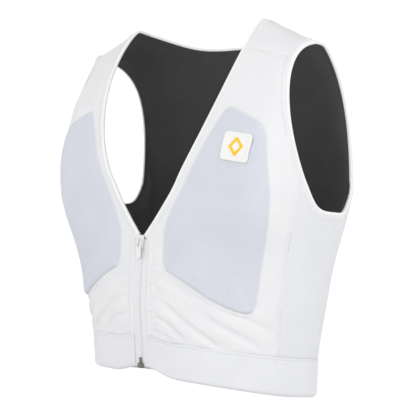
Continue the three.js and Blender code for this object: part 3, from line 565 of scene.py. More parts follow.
KNIT = make_knit_group()
RIB = make_rib_group()
MOTTLE = make_mottle_group()
print("shader groups:", KNIT.name, RIB.name, MOTTLE.name)

# %% [markdown]
# ### Cloth
# Every cloth is the same recipe: a colour that drifts between two shades, a soft rough surface with a little
# sheen from its fibres, and the knit or the rib as bump on the flat pattern.

# %% Cloth materials
SHADE_RANGE = (0.36, 0.64)
CLOTH_MOTTLE = 0.035
CLOTH_SHEEN_ROUGHNESS = 0.5
CLOTH_SPECULAR = 0.25


def start_material(name, light, dark, roughness, mottle_size):
    """A material whose colour drifts between two shades. Returns the material, its tree and shader."""
    material = bpy.data.materials.new(name)
    material.use_nodes = True
    tree = material.node_tree
    shader = tree.nodes["Principled BSDF"]
    shader.inputs["Roughness"].default_value = roughness
    mottle = new_node(tree, "ShaderNodeGroup", node_tree=MOTTLE)
    mottle.inputs["Size"].default_value = mottle_size
    ramp = new_node(tree, "ShaderNodeValToRGB")
    ramp.color_ramp.elements[0].position = SHADE_RANGE[0]
    ramp.color_ramp.elements[0].color = (*dark, 1)
    ramp.color_ramp.elements[1].position = SHADE_RANGE[1]
    ramp.color_ramp.elements[1].color = (*light, 1)
    tree.links.new(mottle.outputs["Mask"], ramp.inputs["Fac"])
    tree.links.new(ramp.outputs["Color"], shader.inputs["Base Color"])
    return material, tree, shader


def add_bump(tree, shader, height, distance, strength):
    bump = new_node(tree, "ShaderNodeBump")
    bump.inputs["Distance"].default_value = distance
    bump.inputs["Strength"].default_value = strength
    tree.links.new(height, bump.inputs["Height"])
    tree.links.new(bump.outputs["Normal"], shader.inputs["Normal"])


def cloth_material(name, light, dark, group, sizes, depth, roughness=0.9, sheen=0.15, strength=0.5):
    material, tree, shader = start_material(name, light, dark, roughness, CLOTH_MOTTLE)
    shader.inputs["Sheen Weight"].default_value = sheen
    shader.inputs["Sheen Roughness"].default_value = CLOTH_SHEEN_ROUGHNESS
    shader.inputs["Specular IOR Level"].default_value = CLOTH_SPECULAR
    pattern = new_node(tree, "ShaderNodeUVMap", uv_map="pattern")
    weave = new_node(tree, "ShaderNodeGroup", node_tree=group)
    tree.links.new(pattern.outputs["UV"], weave.inputs["Pattern"])
    for title, value in sizes.items():
        weave.inputs[title].default_value = value
    add_bump(tree, shader, weave.outputs["Height"], depth, strength)
    return material


WHITE_KNIT = cloth_material(
    "white_knit", (0.86, 0.86, 0.87), (0.83, 0.833, 0.85),
    KNIT, {"Pitch": 0.0009}, 0.00012,
)
SIDE_KNIT = cloth_material(
    "cool_white_knit", (0.82, 0.826, 0.855), (0.795, 0.802, 0.835),
    KNIT, {"Pitch": 0.0011}, 0.00016,
)
PAD_KNIT = cloth_material(
    "pad_knit", (0.7, 0.722, 0.79), (0.675, 0.698, 0.768),
    KNIT, {"Pitch": 0.0012}, 0.00018,
)
LINING_KNIT = cloth_material(
    "lining_knit", (0.078, 0.078, 0.078), (0.068, 0.068, 0.068),
    KNIT, {"Pitch": 0.0014}, 0.0002,
)
BINDING_WEAVE = cloth_material(
    "binding_weave", (0.86, 0.862, 0.875), (0.83, 0.834, 0.85),
    RIB, {"Rib": 0.0011, "Thread": 0.0008}, 0.0001,
)
ELASTIC_WEAVE = cloth_material(
    "elastic_weave", (0.83, 0.835, 0.86), (0.8, 0.806, 0.835),
    RIB, {"Rib": 0.0016, "Thread": 0.0009}, 0.00022,
)
TAPE_WEAVE = cloth_material(
    "tape_weave", (0.85, 0.855, 0.87), (0.82, 0.826, 0.845),
    RIB, {"Rib": 0.0009, "Thread": 0.0009}, 0.00014,
)
# The stitches' white yarn is given a grey here: painted shade for the small shadows along each stitch line.
THREAD_PAINTED_SHADE = cloth_material(
    "thread_painted_shade", (0.77, 0.775, 0.795), (0.71, 0.715, 0.735),
    RIB, {"Rib": 0.0004, "Thread": 0.0004}, 0.00004,
)
print("cloth finishes:", [m.name for m in (WHITE_KNIT, SIDE_KNIT, PAD_KNIT, LINING_KNIT)])

# %% [markdown]
# ### Rims
# A pad's blue grey runs out to white where its foam gets thin, and a binding's fold gets a painted
# highlight, a whiter colour than its face. Both are painted by an attribute of the mesh, named rim, so they
# follow the shape.

# %% Rim fade
MIX_A = 6
MIX_B = 7
MIX_RESULT = 2


def paint_rim(piece, values):
    rim = np.asarray(values, np.float32)
    piece.data.attributes.new("rim", "FLOAT", "POINT").data.foreach_set("value", rim)


def add_rim_fade(material, rim_colour):
    """Lets a material run out to the rim's colour as far as the rim attribute says."""
    tree = material.node_tree
    shader = tree.nodes["Principled BSDF"]
    colour = shader.inputs["Base Color"].links[0].from_socket
    rim = new_node(tree, "ShaderNodeAttribute", attribute_name="rim")
    blend = new_node(tree, "ShaderNodeMix", data_type="RGBA")
    blend.inputs[MIX_B].default_value = (*rim_colour, 1)
    tree.links.new(rim.outputs["Fac"], blend.inputs["Factor"])
    tree.links.new(colour, blend.inputs[MIX_A])
    tree.links.new(blend.outputs[MIX_RESULT], shader.inputs["Base Color"])


add_rim_fade(PAD_KNIT, (0.84, 0.845, 0.86))
# The binding's fold is painted a whiter colour: a painted highlight on the fold.
add_rim_fade(BINDING_WEAVE, (0.93, 0.93, 0.935))
print("rims fade on:", PAD_KNIT.name, "and", BINDING_WEAVE.name)

# %% [markdown]
# ### Plastic, metal and rubber
# The zip and the badge are moulded, so their surface is close to smooth. A fine noise as bump breaks up the
# highlight, as the grain of a mould does.

# %% Hard materials
HARD_MOTTLE = 0.006


def hard_material(name, light, dark, roughness, metallic=0.0, grain=0.00002, grain_scale=900):
    material, tree, shader = start_material(name, light, dark, roughness, HARD_MOTTLE)
    shader.inputs["Metallic"].default_value = metallic
    place = new_node(tree, "ShaderNodeTexCoord")
    noise = new_node(tree, "ShaderNodeTexNoise")
    noise.inputs["Scale"].default_value = grain_scale
    noise.inputs["Detail"].default_value = 2.0
    tree.links.new(place.outputs["Object"], noise.inputs["Vector"])
    add_bump(tree, shader, noise.outputs["Fac"], grain, 0.5)
    return material


ZIP_PLASTIC = hard_material("zip_plastic", (0.86, 0.865, 0.86), (0.82, 0.825, 0.82), 0.38)
ZIP_TEETH = hard_material("zip_teeth", (0.92, 0.922, 0.935), (0.89, 0.892, 0.905), 0.5)
ZIP_METAL = hard_material("zip_metal", (0.27, 0.255, 0.24), (0.2, 0.188, 0.175), 0.36, metallic=0.9)
BADGE_RUBBER = hard_material("badge_rubber", (0.9, 0.9, 0.885), (0.87, 0.87, 0.857), 0.55, grain=0.00004)
BADGE_AMBER = hard_material("badge_amber", (1.0, 0.62, 0.004), (0.97, 0.57, 0.004), 0.5, grain=0.00003)
print("hard finishes:", [m.name for m in (ZIP_PLASTIC, ZIP_TEETH, ZIP_METAL, BADGE_RUBBER, BADGE_AMBER)])

# %% [markdown]
# ## Edges and seams
# The neckline, the armholes and the seams are lines on the form. Panels, bindings and stitches all read
# the same lines, as a cutter's pattern pieces share their notches.

# %% Lines on the form
ZIP_TOP_RISE = 0.707
ZIP_HALF_WIDTH = 9.0
WAIST_RISE = 0.185
SHOULDER_SEAM_RISE = 1.61
BACK_SEAM_TURN = 112.0
FRONT_SEAM = {"rise": [0.15, 0.43, 0.92, 1.2], "turn": [77, 72.5, 72, 72]}
ARMHOLE = {"low_turn": 96.5, "low_rise": 0.876, "tip_x": 168.3, "front_bow": 25.0, "back_bow": 17.7}
ARMHOLE_LOW_POWER = 0.5
ARMHOLE_TIP_POWER = 2.2
ARMHOLE_TIP_EASE = 0.2
ARMHOLE_CROSSING_X = 162.5


def neck_turn(rise, inset):
    height = ARMPIT_HEIGHT * np.minimum(rise, 1) + (NECK_HEIGHT - ARMPIT_HEIGHT) * climb_at(rise)
    start = ZIP_TOP_RISE * ARMPIT_HEIGHT
    t = np.clip((height - start) / (NECK_HEIGHT - start), 0, 1)
    reach = NECK["half_width"] - NECK["start_x"]
    x = NECK["start_x"] + reach * (1 - (1 - t) ** NECK["curve"])
    flare = reach * NECK["curve"] * (1 - t) ** (NECK["curve"] - 1) / (NECK_HEIGHT - start)
    return turn_at_x(x + inset * np.hypot(1, flare), rise)


def rise_at_height(height):
    climb = np.clip((height - ARMPIT_HEIGHT) / (NECK_HEIGHT - ARMPIT_HEIGHT), 0, 1)
    return np.where(height <= ARMPIT_HEIGHT, height / ARMPIT_HEIGHT, 1 + np.arcsin(climb) * 2 / np.pi)


def back_neck_place(share, inset):
    fall = (NECK["back_drop"] + inset) * (1 - np.abs(share) ** NECK["back_curve"])
    rise = rise_at_height(NECK_HEIGHT - fall)
    turn = turn_at_x(np.abs(share) * (NECK["half_width"] + inset), rise)
    return 180 - np.sign(share) * turn, rise


def armhole_place(sweep, inset, is_back):
    share = (1 - np.cos(np.radians(sweep))) / 2
    power = mix(ARMHOLE_LOW_POWER, ARMHOLE_TIP_POWER, share)
    bow = ARMHOLE["back_bow" if is_back else "front_bow"] * np.sin(np.radians(sweep)) ** power
    low_turn = 180 - ARMHOLE["low_turn"] if is_back else ARMHOLE["low_turn"]
    tip_turn = turn_at_x(ARMHOLE["tip_x"] - inset, 2.0)
    turn = mix(low_turn, tip_turn, share) - bow
    rise = mix(ARMHOLE["low_rise"] - inset / ARMPIT_HEIGHT, 2.0, share)
    crossing_turn = turn_at_x(ARMHOLE_CROSSING_X - inset, 2.0)
    turn = mix(crossing_turn, turn, smooth(0, ARMHOLE_TIP_EASE, 2 - rise))
    return (180 - turn if is_back else turn), rise


def armhole_turn(rise, inset, is_back):
    low = ARMHOLE["low_rise"] - inset / ARMPIT_HEIGHT
    sweep = np.degrees(np.arccos(np.clip(1 - 2 * (rise - low) / (2 - low), -1, 1)))
    return armhole_place(sweep, inset, is_back)[0]


def front_seam_turn(rise):
    return through(FRONT_SEAM["rise"], FRONT_SEAM["turn"], rise)


print("armhole's lowest point:", np.round(form_point(*armhole_place(0.0, 0.0, False)), 1))

# %% [markdown]
# ## Chest pad outline and drag creases
# The pads are let into the front cloth, and the cloth under them is dragged into slanting folds towards
# the zip. Each crease is one row of a short table: a line of places with a width and a depth.

# %% Pad outline
PAD_CENTRE = (36.0, 0.84)
PAD_CORNERS = [
    {"turn": 32, "rise": 1.302, "round": 9},
    {"turn": 54.5, "rise": 1.222, "round": 16},
    {"turn": 62.3, "rise": 0.95, "round": 70},
    {"turn": 58.6, "rise": 0.367, "round": 15},
    {"turn": 42, "rise": 0.374, "round": 30},
    {"turn": 9, "rise": 0.55, "round": 8},
    {"turn": 8.2, "rise": 0.73, "round": 12},
    {"turn": 10.8, "rise": 0.835, "round": 12},
    {"turn": 16.2, "rise": 0.965, "round": 14},
]


def rounded_outline(corners, count):
    """A polygon of places with each corner rounded, as evenly spaced pattern points in millimetres."""
    points = [to_pattern(c["turn"], c["rise"]) for c in corners]
    bend = np.linspace(0, 1, 13)[:, None]
    line = []
    for i, corner in enumerate(points):
        before, after = points[i - 1], points[(i + 1) % len(points)]
        start = mix(corner, before, corners[i]["round"] / np.linalg.norm(before - corner))
        end = mix(corner, after, corners[i]["round"] / np.linalg.norm(after - corner))
        line.append((1 - bend) ** 2 * start + 2 * bend * (1 - bend) * corner + bend**2 * end)
    line = np.concatenate([*line, line[0][:1]])
    run = run_along(line)
    at = np.linspace(0, run[-1], count, endpoint=False)
    return np.stack([np.interp(at, run, line[:, k]) for k in (0, 1)], -1)


def edge_distance(outline, pattern):
    """How far points lie inside a closed outline, less than 0 outside it, and each one's nearest edge."""
    flat = pattern.reshape(-1, 2)
    a = outline
    b = np.roll(outline, -1, axis=0)
    edge = b - a
    t = np.clip(((flat[:, None] - a) * edge).sum(-1) / (edge**2).sum(-1), 0, 1)
    away = np.linalg.norm(flat[:, None] - (a + edge * t[..., None]), axis=-1)
    nearest = away.argmin(1)
    rising = (a[:, 1] > flat[:, None, 1]) != (b[:, 1] > flat[:, None, 1])
    step = np.where(edge[:, 1] == 0, 1e-9, edge[:, 1])
    crossing = a[:, 0] + (flat[:, None, 1] - a[:, 1]) / step * edge[:, 0]
    inside = (rising & (flat[:, None, 0] < crossing)).sum(1) % 2 == 1
    distance = np.where(inside, away.min(1), -away.min(1))
    return distance.reshape(pattern.shape[:-1]), nearest.reshape(pattern.shape[:-1])


PAD_OUTLINE = rounded_outline(PAD_CORNERS, 220)
PAD_LOWER = 126.0
pad_edges = np.roll(PAD_OUTLINE, -1, axis=0) - PAD_OUTLINE
level = np.abs(pad_edges[:, 0]) / np.linalg.norm(pad_edges, axis=1)
PAD_CRISPNESS = smooth(0.55, 0.9, level) * (PAD_OUTLINE[:, 1] < PAD_LOWER)
print("pad outline is", round(run_along(PAD_OUTLINE)[-1]), "mm round")

# %% [markdown]
# The pull of the pads and of the zip shows as a few long creases. A crease is a sharp valley with a soft
# swell on both sides. A cloth simulation would make folds too, but not these ones in these places.

# %% Folds and the relief of the front cloth
CREASES = [
    {
        "path": [(7, 0.415), (14, 0.356), (21, 0.303), (29.5, 0.253), (38.5, 0.207), (49, 0.188)],
        "width": 3.8,
        "depth": 3.1,
    },
    {"path": [(6.5, 0.455), (9.5, 0.425), (15, 0.39)], "width": 2.8, "depth": 1.5},
    {"path": [(7, 0.31), (14, 0.273), (19, 0.231), (25, 0.195)], "width": 3.0, "depth": 2.3},
    {"path": [(6.5, 0.23), (10.5, 0.215), (17, 0.2)], "width": 2.4, "depth": 1.6},
    {
        "path": [(31, 0.342), (41, 0.295), (50.5, 0.261), (60, 0.231), (66, 0.19)],
        "width": 4.0,
        "depth": 2.6,
    },
    {
        "path": [(42, 0.372), (51, 0.352), (60.5, 0.327), (69, 0.299), (75, 0.28)],
        "width": 4.2,
        "depth": 1.8,
    },
    {"path": [(6.5, 0.53), (11, 0.49), (19, 0.448), (28, 0.4)], "width": 3.0, "depth": 1.5},
]
PAD_RECESS = 5.4
RECESS_FROM = 2.5
RECESS_TO = 8.0
CREASE_SWELL = 0.55
PAD_LIP = {"height": 0.9, "at": 1.8, "width": 1.1}
PAD_GROOVE = {"depth": 0.7, "at": 4.4, "width": 1.0}
RIPPLE_HEIGHT = 0.22
ripple_draw = np.random.default_rng(11)
RIPPLES = [
    {
        "angle": ripple_draw.uniform(0, np.pi),
        "length": ripple_draw.uniform(24, 60),
        "phase": ripple_draw.uniform(0, 6),
    }
    for _ in range(7)
]


def line_distance(path, pattern):
    """Distance of pattern points from a line of points, and how far along the line they are, 0 to 1."""
    away = np.full(pattern.shape[:-1], np.inf)
    along = np.zeros(pattern.shape[:-1])
    lengths = np.linalg.norm(np.diff(path, axis=0), axis=1)
    before = 0.0
    for start, end, length in zip(path[:-1], path[1:], lengths):
        run = end - start
        t = np.clip(((pattern - start) @ run) / (run @ run), 0, 1)
        distance = np.linalg.norm(pattern - (start + run * t[..., None]), axis=-1)
        nearer = distance < away
        away = np.where(nearer, distance, away)
        along = np.where(nearer, (before + t * length) / lengths.sum(), along)
        before += length
    return away, along


def crease_height(pattern):
    """A sharp valley between two soft swells for each crease, dying out at both ends."""
    height = np.zeros(pattern.shape[:-1])
    for crease in CREASES:
        turns, rises = np.transpose(crease["path"])
        away, along = line_distance(to_pattern(turns, rises), pattern)
        valley = hump(away, 0, crease["width"])
        swell = CREASE_SWELL * hump(away, 0, 3 * crease["width"])
        fade = smooth(0, 0.12, along) * smooth(1, 0.7, along)
        height += crease["depth"] * (swell - valley) * fade
    return height


def ripple(pattern):
    """The small unevenness of stretch cloth, as a few long waves that cross each other."""
    total = np.zeros(pattern.shape[:-1])
    for wave in RIPPLES:
        along = pattern[..., 0] * math.cos(wave["angle"]) + pattern[..., 1] * math.sin(wave["angle"])
        total += np.sin(2 * np.pi * along / wave["length"] + wave["phase"])
    return RIPPLE_HEIGHT * total / 2


def front_relief(turn, rise):
    """Height of the front cloth over the form: creases, a recess under the pad and a lip below it."""
    pattern = to_pattern(turn, rise)
    inset, nearest = edge_distance(PAD_OUTLINE, pattern)
    outside = -inset
    recess = PAD_RECESS * smooth(RECESS_FROM, RECESS_TO, inset)
    lip = PAD_LIP["height"] * hump(outside, PAD_LIP["at"], PAD_LIP["width"])
    lip = lip - PAD_GROOVE["depth"] * hump(outside, PAD_GROOVE["at"], PAD_GROOVE["width"])
    soft = crease_height(pattern) * smooth(1, 7, outside) + ripple(pattern) * smooth(0, 6, outside)
    return soft + lip * PAD_CRISPNESS[nearest] - recess


print("creases:", len(CREASES), "and the deepest is", max(c["depth"] for c in CREASES), "mm")

# %% [markdown]
# ## Front panels
# Two mirrored panels of white knit. Each is tucked under the bindings and the waistband, and has a turned
# edge beside the zip. They could be sewn and draped in a simulation, but the photograph's folds
# are few and in known places, so the sheet takes them straight from the table.

# %% Front panels
CLOTH = 1.2
TUCK = 4.0
WAIST_TUCK = 7.0
TUCK_DEPTH = 1.0
FRONT_ROWS = 190
FRONT_COLUMNS = 116
LOW_RISE = WAIST_RISE - WAIST_TUCK / ARMPIT_HEIGHT
ZIP_MARGIN = 5.5
SEAM_MARGIN = 3.0
SEAM_SINK = 0.4
SEAM_REACH = 6.0
SEAM_DIP = 0.2
SEAM_TOP = {"from": 0.95, "full": 0.9}
DRAWN_WIDTH = 0.9
TURNED_HEIGHT = 0.4
FOLD_ROUND = 0.6
PUCKER = {"height": 0.3, "length": 7.3, "at": 7.0, "width": 4.0}


def waist_tuck(rise):
    """How far cloth sinks where it goes under the waistband."""
    return -TUCK_DEPTH * smooth(WAIST_RISE + 0.012, WAIST_RISE - 0.006, rise)


def turned_edge(distance, margin):
    """A turned and stitched edge: full between the fold and the stitches, and drawn in along them."""
    full = np.sin(np.pi * np.clip(distance / margin, 0, 1))
    drawn = hump(distance, margin, DRAWN_WIDTH)
    rounded = hump(distance, 0, FOLD_ROUND)
    return TURNED_HEIGHT * (full - drawn - rounded)


def seam_edge(distance):
    """A flat seam with one row of stitches that draws the cloth in a little."""
    return -SEAM_DIP * hump(distance, SEAM_MARGIN, DRAWN_WIDTH)


def into_seam(distance):
    """How far cloth goes down into the seam beside it."""
    return SEAM_SINK * smooth(SEAM_REACH, 0, distance)


def front_places():
    rise = np.linspace(LOW_RISE, SHOULDER_SEAM_RISE, FRONT_ROWS)[:, None]
    across = np.linspace(0, 1, FRONT_COLUMNS)[None, :]
    zip_edge = turn_at_x(ZIP_HALF_WIDTH, rise)
    neck_edge = np.where(rise < ZIP_TOP_RISE, 0, neck_turn(rise, TUCK))
    inner = np.maximum(zip_edge, neck_edge)
    outer = np.minimum(front_seam_turn(rise), armhole_turn(rise, TUCK, False))
    return mix(inner, outer, across), np.broadcast_to(rise, (FRONT_ROWS, FRONT_COLUMNS)), inner, outer


def front_panel_offset(turn, rise, inner, outer):
    from_zip = (turn - inner) * PATTERN_PER_DEGREE
    from_seam = (outer - turn) * PATTERN_PER_DEGREE
    below_neck = smooth(ZIP_TOP_RISE, ZIP_TOP_RISE - 0.02, rise)
    below_arm = smooth(SEAM_TOP["from"], SEAM_TOP["full"], rise)
    offset = front_relief(turn, rise) + waist_tuck(rise)
    waves = np.sin(2 * np.pi * rise * ARMPIT_HEIGHT / PUCKER["length"])
    pucker = PUCKER["height"] * waves * hump(from_zip, PUCKER["at"], PUCKER["width"])
    offset += (turned_edge(from_zip, ZIP_MARGIN) + pucker) * below_neck
    offset += (seam_edge(from_seam) - into_seam(from_seam)) * below_arm
    below_strap = (SHOULDER_SEAM_RISE - rise) * ARMPIT_HEIGHT
    return offset - into_seam(below_strap)


turn, rise, inner, outer = front_places()
offset = front_panel_offset(turn, rise, inner, outer)
for side, word in SIDES:
    front = thicken(cloth_sheet(f"front_cloth_{word}", turn, rise, offset, WHITE_KNIT, side), CLOTH)
    sew_in(front, f"front_panel_{word}")

# %% [markdown]
# ## Side panels
# A panel under each arm in a slightly cooler white, sewn edge to edge with the front and back panels.

# %% Side panels
SIDE_ROWS = 90
SIDE_COLUMNS = 70
SIDE_RIPPLE = 0.6
SIDE_FLAT = 8.0


def armhole_low_rise(turn, inset=TUCK):
    """The rise of the armhole's lower edge at a turn."""
    sweep = np.linspace(0, 100, 400)
    front_turn, front_rise = armhole_place(sweep, inset, False)
    back_turn, back_rise = armhole_place(sweep, inset, True)
    turns = np.concatenate([front_turn[::-1], back_turn[1:]])
    rises = np.concatenate([front_rise[::-1], back_rise[1:]])
    return np.interp(turn, turns, rises)


def side_places():
    across = np.linspace(0, 1, SIDE_COLUMNS)[None, :]
    up = np.linspace(0, 1, SIDE_ROWS)[:, None]
    top = armhole_low_rise(mix(front_seam_turn(1.0), BACK_SEAM_TURN, across))
    rise = mix(LOW_RISE, top, up)
    return mix(front_seam_turn(rise), BACK_SEAM_TURN, across), rise


def side_offset(turn, rise):
    from_front = (turn - front_seam_turn(rise)) * PATTERN_PER_DEGREE
    from_back = (BACK_SEAM_TURN - turn) * PATTERN_PER_DEGREE
    outside = np.minimum(from_front, from_back)
    soft = SIDE_RIPPLE * ripple(to_pattern(turn, rise)) * smooth(0, SIDE_FLAT, outside)
    return waist_tuck(rise) + soft - into_seam(outside)


turn, rise = side_places()
offset = side_offset(turn, rise)
for side, word in SIDES:
    panel = thicken(cloth_sheet(f"side_cloth_{word}", turn, rise, offset, SIDE_KNIT, side), CLOTH)
    sew_in(panel, f"side_panel_{word}")

# %% [markdown]
# ## Back panel
# The back is one piece of cloth that runs over both shoulders to a seam on the front of the straps. The
# photograph shows only the straps, so the rest is plain. It is a grid below the neck and the straps, and
# the two strap grids are merged to it along the shoulder ridge.

# %% Back panel
LEVEL_RISE = 1.4
BACK_ROWS = 130
STRAP_ROWS = 50
STRAP_COLUMNS = 26
NECK_COLUMNS = 56
DENSE_FROM = 1.8
DENSE_POWER = 1.6
STRAP_DENSE_POWER = 1.35
WELD_REACH = 0.02


def rises_to_ridge(low_rise, rows, ridge_rows):
    """Even rows up to the straps, then rows that close up towards the shoulder ridge."""
    close = 2 - (2 - DENSE_FROM) * np.linspace(1, 0, ridge_rows)[1:] ** DENSE_POWER
    return np.concatenate([np.linspace(low_rise, DENSE_FROM, rows), close])


def back_reach(rise, arm_inset):
    return 180 - np.maximum(BACK_SEAM_TURN, armhole_turn(rise, arm_inset, True))


def neck_reach(rise, inset, arm_inset):
    at_neck = turn_at_x(NECK["half_width"] + inset, rise)
    at_ridge = turn_at_x(NECK["half_width"] + inset, 2.0)
    below = back_reach(rise, arm_inset) * at_ridge / back_reach(2.0, arm_inset)
    return mix(below, at_neck, smooth(1.0, 1.5, rise))


def back_places(inset, arm_inset, rows, strap_rows, low_rise):
    """Turns and rises of the trunk grid, and of the two strap grids that go on from its top row."""
    shares = np.linspace(0, 1, STRAP_COLUMNS)
    neck_shares = np.sin(np.linspace(np.pi / 2, -np.pi / 2, NECK_COLUMNS))[1:-1]
    row = rises_to_ridge(low_rise, rows, rows // 4)

    def turn_of(kind, share, rise):
        if kind == "neck":
            return 180 - share * neck_reach(rise, inset, arm_inset)
        return 180 - kind * mix(neck_reach(rise, inset, arm_inset), back_reach(rise, arm_inset), share)

    columns = [(1, share) for share in shares[::-1]]
    columns += [("neck", share) for share in neck_shares]
    columns += [(-1, share) for share in shares]
    turns, rises = [], []
    for kind, share in columns:
        top_turn, top_rise = turn_of(kind, share, 2.0), 2.0
        if kind == "neck":
            top_turn, top_rise = back_neck_place(share, inset)
        up = np.clip((row - LEVEL_RISE) / (2 - LEVEL_RISE), 0, 1)
        rise = np.where(row <= LEVEL_RISE, row, mix(LEVEL_RISE, top_rise, up))
        settle_in = smooth(LEVEL_RISE, 2, row) * (top_turn - turn_of(kind, share, top_rise))
        turns.append(turn_of(kind, share, rise) + settle_in)
        rises.append(rise)
    trunk = np.stack(turns, 1), np.stack(rises, 1)
    strap_row = 2 - (2 - SHOULDER_SEAM_RISE) * np.linspace(0, 1, strap_rows) ** STRAP_DENSE_POWER
    strap_rise = np.broadcast_to(strap_row[::-1, None], (strap_rows, STRAP_COLUMNS))
    strap_inner = neck_turn(strap_rise, inset)
    strap_outer = armhole_turn(strap_rise, arm_inset, False)
    strap_turn = mix(strap_inner, strap_outer, shares[None, :])
    return trunk, (strap_turn, strap_rise)


def joined_sheet(name, grids, material):
    """Several grids, each (turn, rise, offset, side), merged where their edges meet."""
    points, uvs, faces, first = [], [], [], 0
    for turn, rise, offset, side in grids:
        place = on_form(turn, rise, offset)
        points.append((place * np.array([side, 1, 1])).reshape(-1, 3))
        uvs.append((to_pattern(turn, rise) * np.array([side, 1])).reshape(-1, 2))
        faces += [[k + first for k in face] for face in grid_faces(*turn.shape, flip=side < 0)]
        first += turn.size
    made = mesh_object(name, np.concatenate(points), faces, np.concatenate(uvs), material)
    weld = made.modifiers.new("weld", "WELD")
    weld.merge_threshold = WELD_REACH * MM
    return made


def back_offset(turn, rise):
    from_seam = (180 - np.abs(180 - turn) - BACK_SEAM_TURN) * PATTERN_PER_DEGREE
    turned = seam_edge(from_seam) - into_seam(from_seam)
    turned = turned * smooth(SEAM_TOP["from"], SEAM_TOP["full"], rise)
    return waist_tuck(rise) + ripple(to_pattern(turn, rise)) * smooth(2.0, 1.7, rise) + turned


def strap_offset(rise):
    from_seam = (rise - SHOULDER_SEAM_RISE) * ARMPIT_HEIGHT
    return -into_seam(from_seam)


trunk, strap = back_places(TUCK, TUCK, BACK_ROWS, STRAP_ROWS, LOW_RISE)
grids = [(*trunk, back_offset(*trunk), 1)]
grids += [(*strap, strap_offset(strap[1]), side) for side in (1, -1)]
back = thicken(joined_sheet("back_cloth", grids, WHITE_KNIT), CLOTH)
sew_in(back, "back_panel")

# %% [markdown]
# ## Bindings
# The neck and the armholes are bound with a folded elastic tape. Its section is a flat U that takes the
# cloth and the lining between its legs. The section is carried along the edge with a small frame at each
# station: along the edge, across the cloth and out of it.

# %% Binding helper
BINDING_FACE = [
    {"inset": 8.0, "out": -0.4},
    {"inset": 7.9, "out": 0.2},
    {"inset": 7.4, "out": 0.45},
    {"inset": 6.5, "out": 0.3},
    {"inset": 5.6, "out": 0.45},
    {"inset": 4.6, "out": 0.3},
    {"inset": 3.4, "out": 0.5},
    {"inset": 1.6, "out": 0.55},
    {"inset": 0.4, "out": 0.25},
    {"inset": 0.0, "out": -0.6},
    {"inset": 0.1, "out": -1.6},
    {"inset": 0.5, "out": -2.5},
]
NECK_INNER = 1.6
ARMHOLE_INNER = 1.3
# The insets, in mm, over which the painted highlight on the binding's fold comes in.
FOLD_HIGHLIGHT = {"from": 3.4, "to": 1.6}


def binding_section(inner):
    """The tape's face and fold, and an inner leg of the given width."""
    leg = [(0.3 + inner / 2, -2.85), (inner, -2.85), (inner, -2.45)]
    return BINDING_FACE + [{"inset": inset, "out": out} for inset, out in leg]


class EdgeLine:
    """A line on the form with its frame: along it, into the cloth and out of the cloth."""

    def __init__(self, turn, rise, into, closed=False):
        self.into = into
        self.closed = closed
        self.take_frames(form_point(turn, rise), form_normal(turn, rise))
        self.run = run_along(self.points)

    def take_frames(self, points, out):
        ahead = np.roll(points, -1, 0) - np.roll(points, 1, 0)
        if not self.closed:
            ahead[0] = points[1] - points[0]
            ahead[-1] = points[-1] - points[-2]
        self.points = points
        self.out = out
        self.along = unit(ahead)
        self.across = unit(np.cross(out, self.along)) * self.into

    def evened(self, count):
        """The line with its stations spread evenly and its frames taken afresh."""
        gap = np.linalg.norm(self.points[0] - self.points[-1]) if self.closed else 0
        total = self.run[-1] + gap
        at = np.linspace(0, total, count, endpoint=not self.closed)
        run = np.append(self.run, total) if self.closed else self.run

        def spread(values):
            values = np.concatenate([values, values[:1]]) if self.closed else values
            return np.stack([np.interp(at, run, values[:, k]) for k in range(3)], -1)

        self.take_frames(spread(self.points), unit(spread(self.out)))
        self.run = at
        return self

    def offset(self, inset, out):
        return self.points + self.across * inset + self.out * out


def binding(name, line, inner, mirror=1):
    section = binding_section(inner)
    rows = [line.offset(row["inset"], row["out"]) for row in section]
    points = np.stack(rows, 1) * np.array([mirror, 1, 1])
    stations, ring = points.shape[:2]
    wrap = run_along(points[0])
    uv = np.stack(np.broadcast_arrays(line.run[:, None], wrap[None, :]), -1)
    faces = []
    for s in range(stations if line.closed else stations - 1):
        t = (s + 1) % stations
        for k in range(ring):
            j = (k + 1) % ring
            faces.append([s * ring + k, s * ring + j, t * ring + j, t * ring + k][::-mirror])
    if not line.closed:
        faces.append(list(range(ring))[::-mirror])
        faces.append([(stations - 1) * ring + k for k in range(ring)][::mirror])
    made = mesh_object(name, points.reshape(-1, 3), faces, uv.reshape(-1, 2), BINDING_WEAVE)
    # Painted highlight: the rim value is 1 on the fold and 0 on the face.
    rim = [smooth(FOLD_HIGHLIGHT["from"], FOLD_HIGHLIGHT["to"], row["inset"]) for row in section]
    paint_rim(made, np.tile(rim, stations))
    return made


print("binding section has", len(binding_section(NECK_INNER)), "points")

# %% [markdown]
# The neck line starts at the zip, runs up one side, round the back and down the other side. An armhole is
# one closed line. Both are spread evenly before the section is carried along them, so no stretch is coarse.

# %% Neck and armhole bindings
NECK_STATIONS = 420
ARMHOLE_STATIONS = 300


def neck_line():
    climb = rises_to_ridge(ZIP_TOP_RISE + 0.002, 240, 60)
    left = neck_turn(climb, 0.0)
    share = np.sin(np.linspace(np.pi / 2, -np.pi / 2, 181))
    back_turn, back_rise = back_neck_place(share, 0.0)
    turn = np.concatenate([left, 180 - np.clip(180 - back_turn, -180, 180)[1:-1], 360 - left[::-1]])
    rise = np.concatenate([climb, back_rise[1:-1], climb[::-1]])
    return turn, rise


def armhole_line():
    sweep = 180 * np.linspace(0, 1, 260) ** 1.4
    front_turn, front_rise = armhole_place(sweep, 0.0, False)
    back_turn, back_rise = armhole_place(sweep[::-1], 0.0, True)
    turn = np.concatenate([front_turn, back_turn[1:-1]])
    rise = np.concatenate([front_rise, back_rise[1:-1]])
    return turn, rise


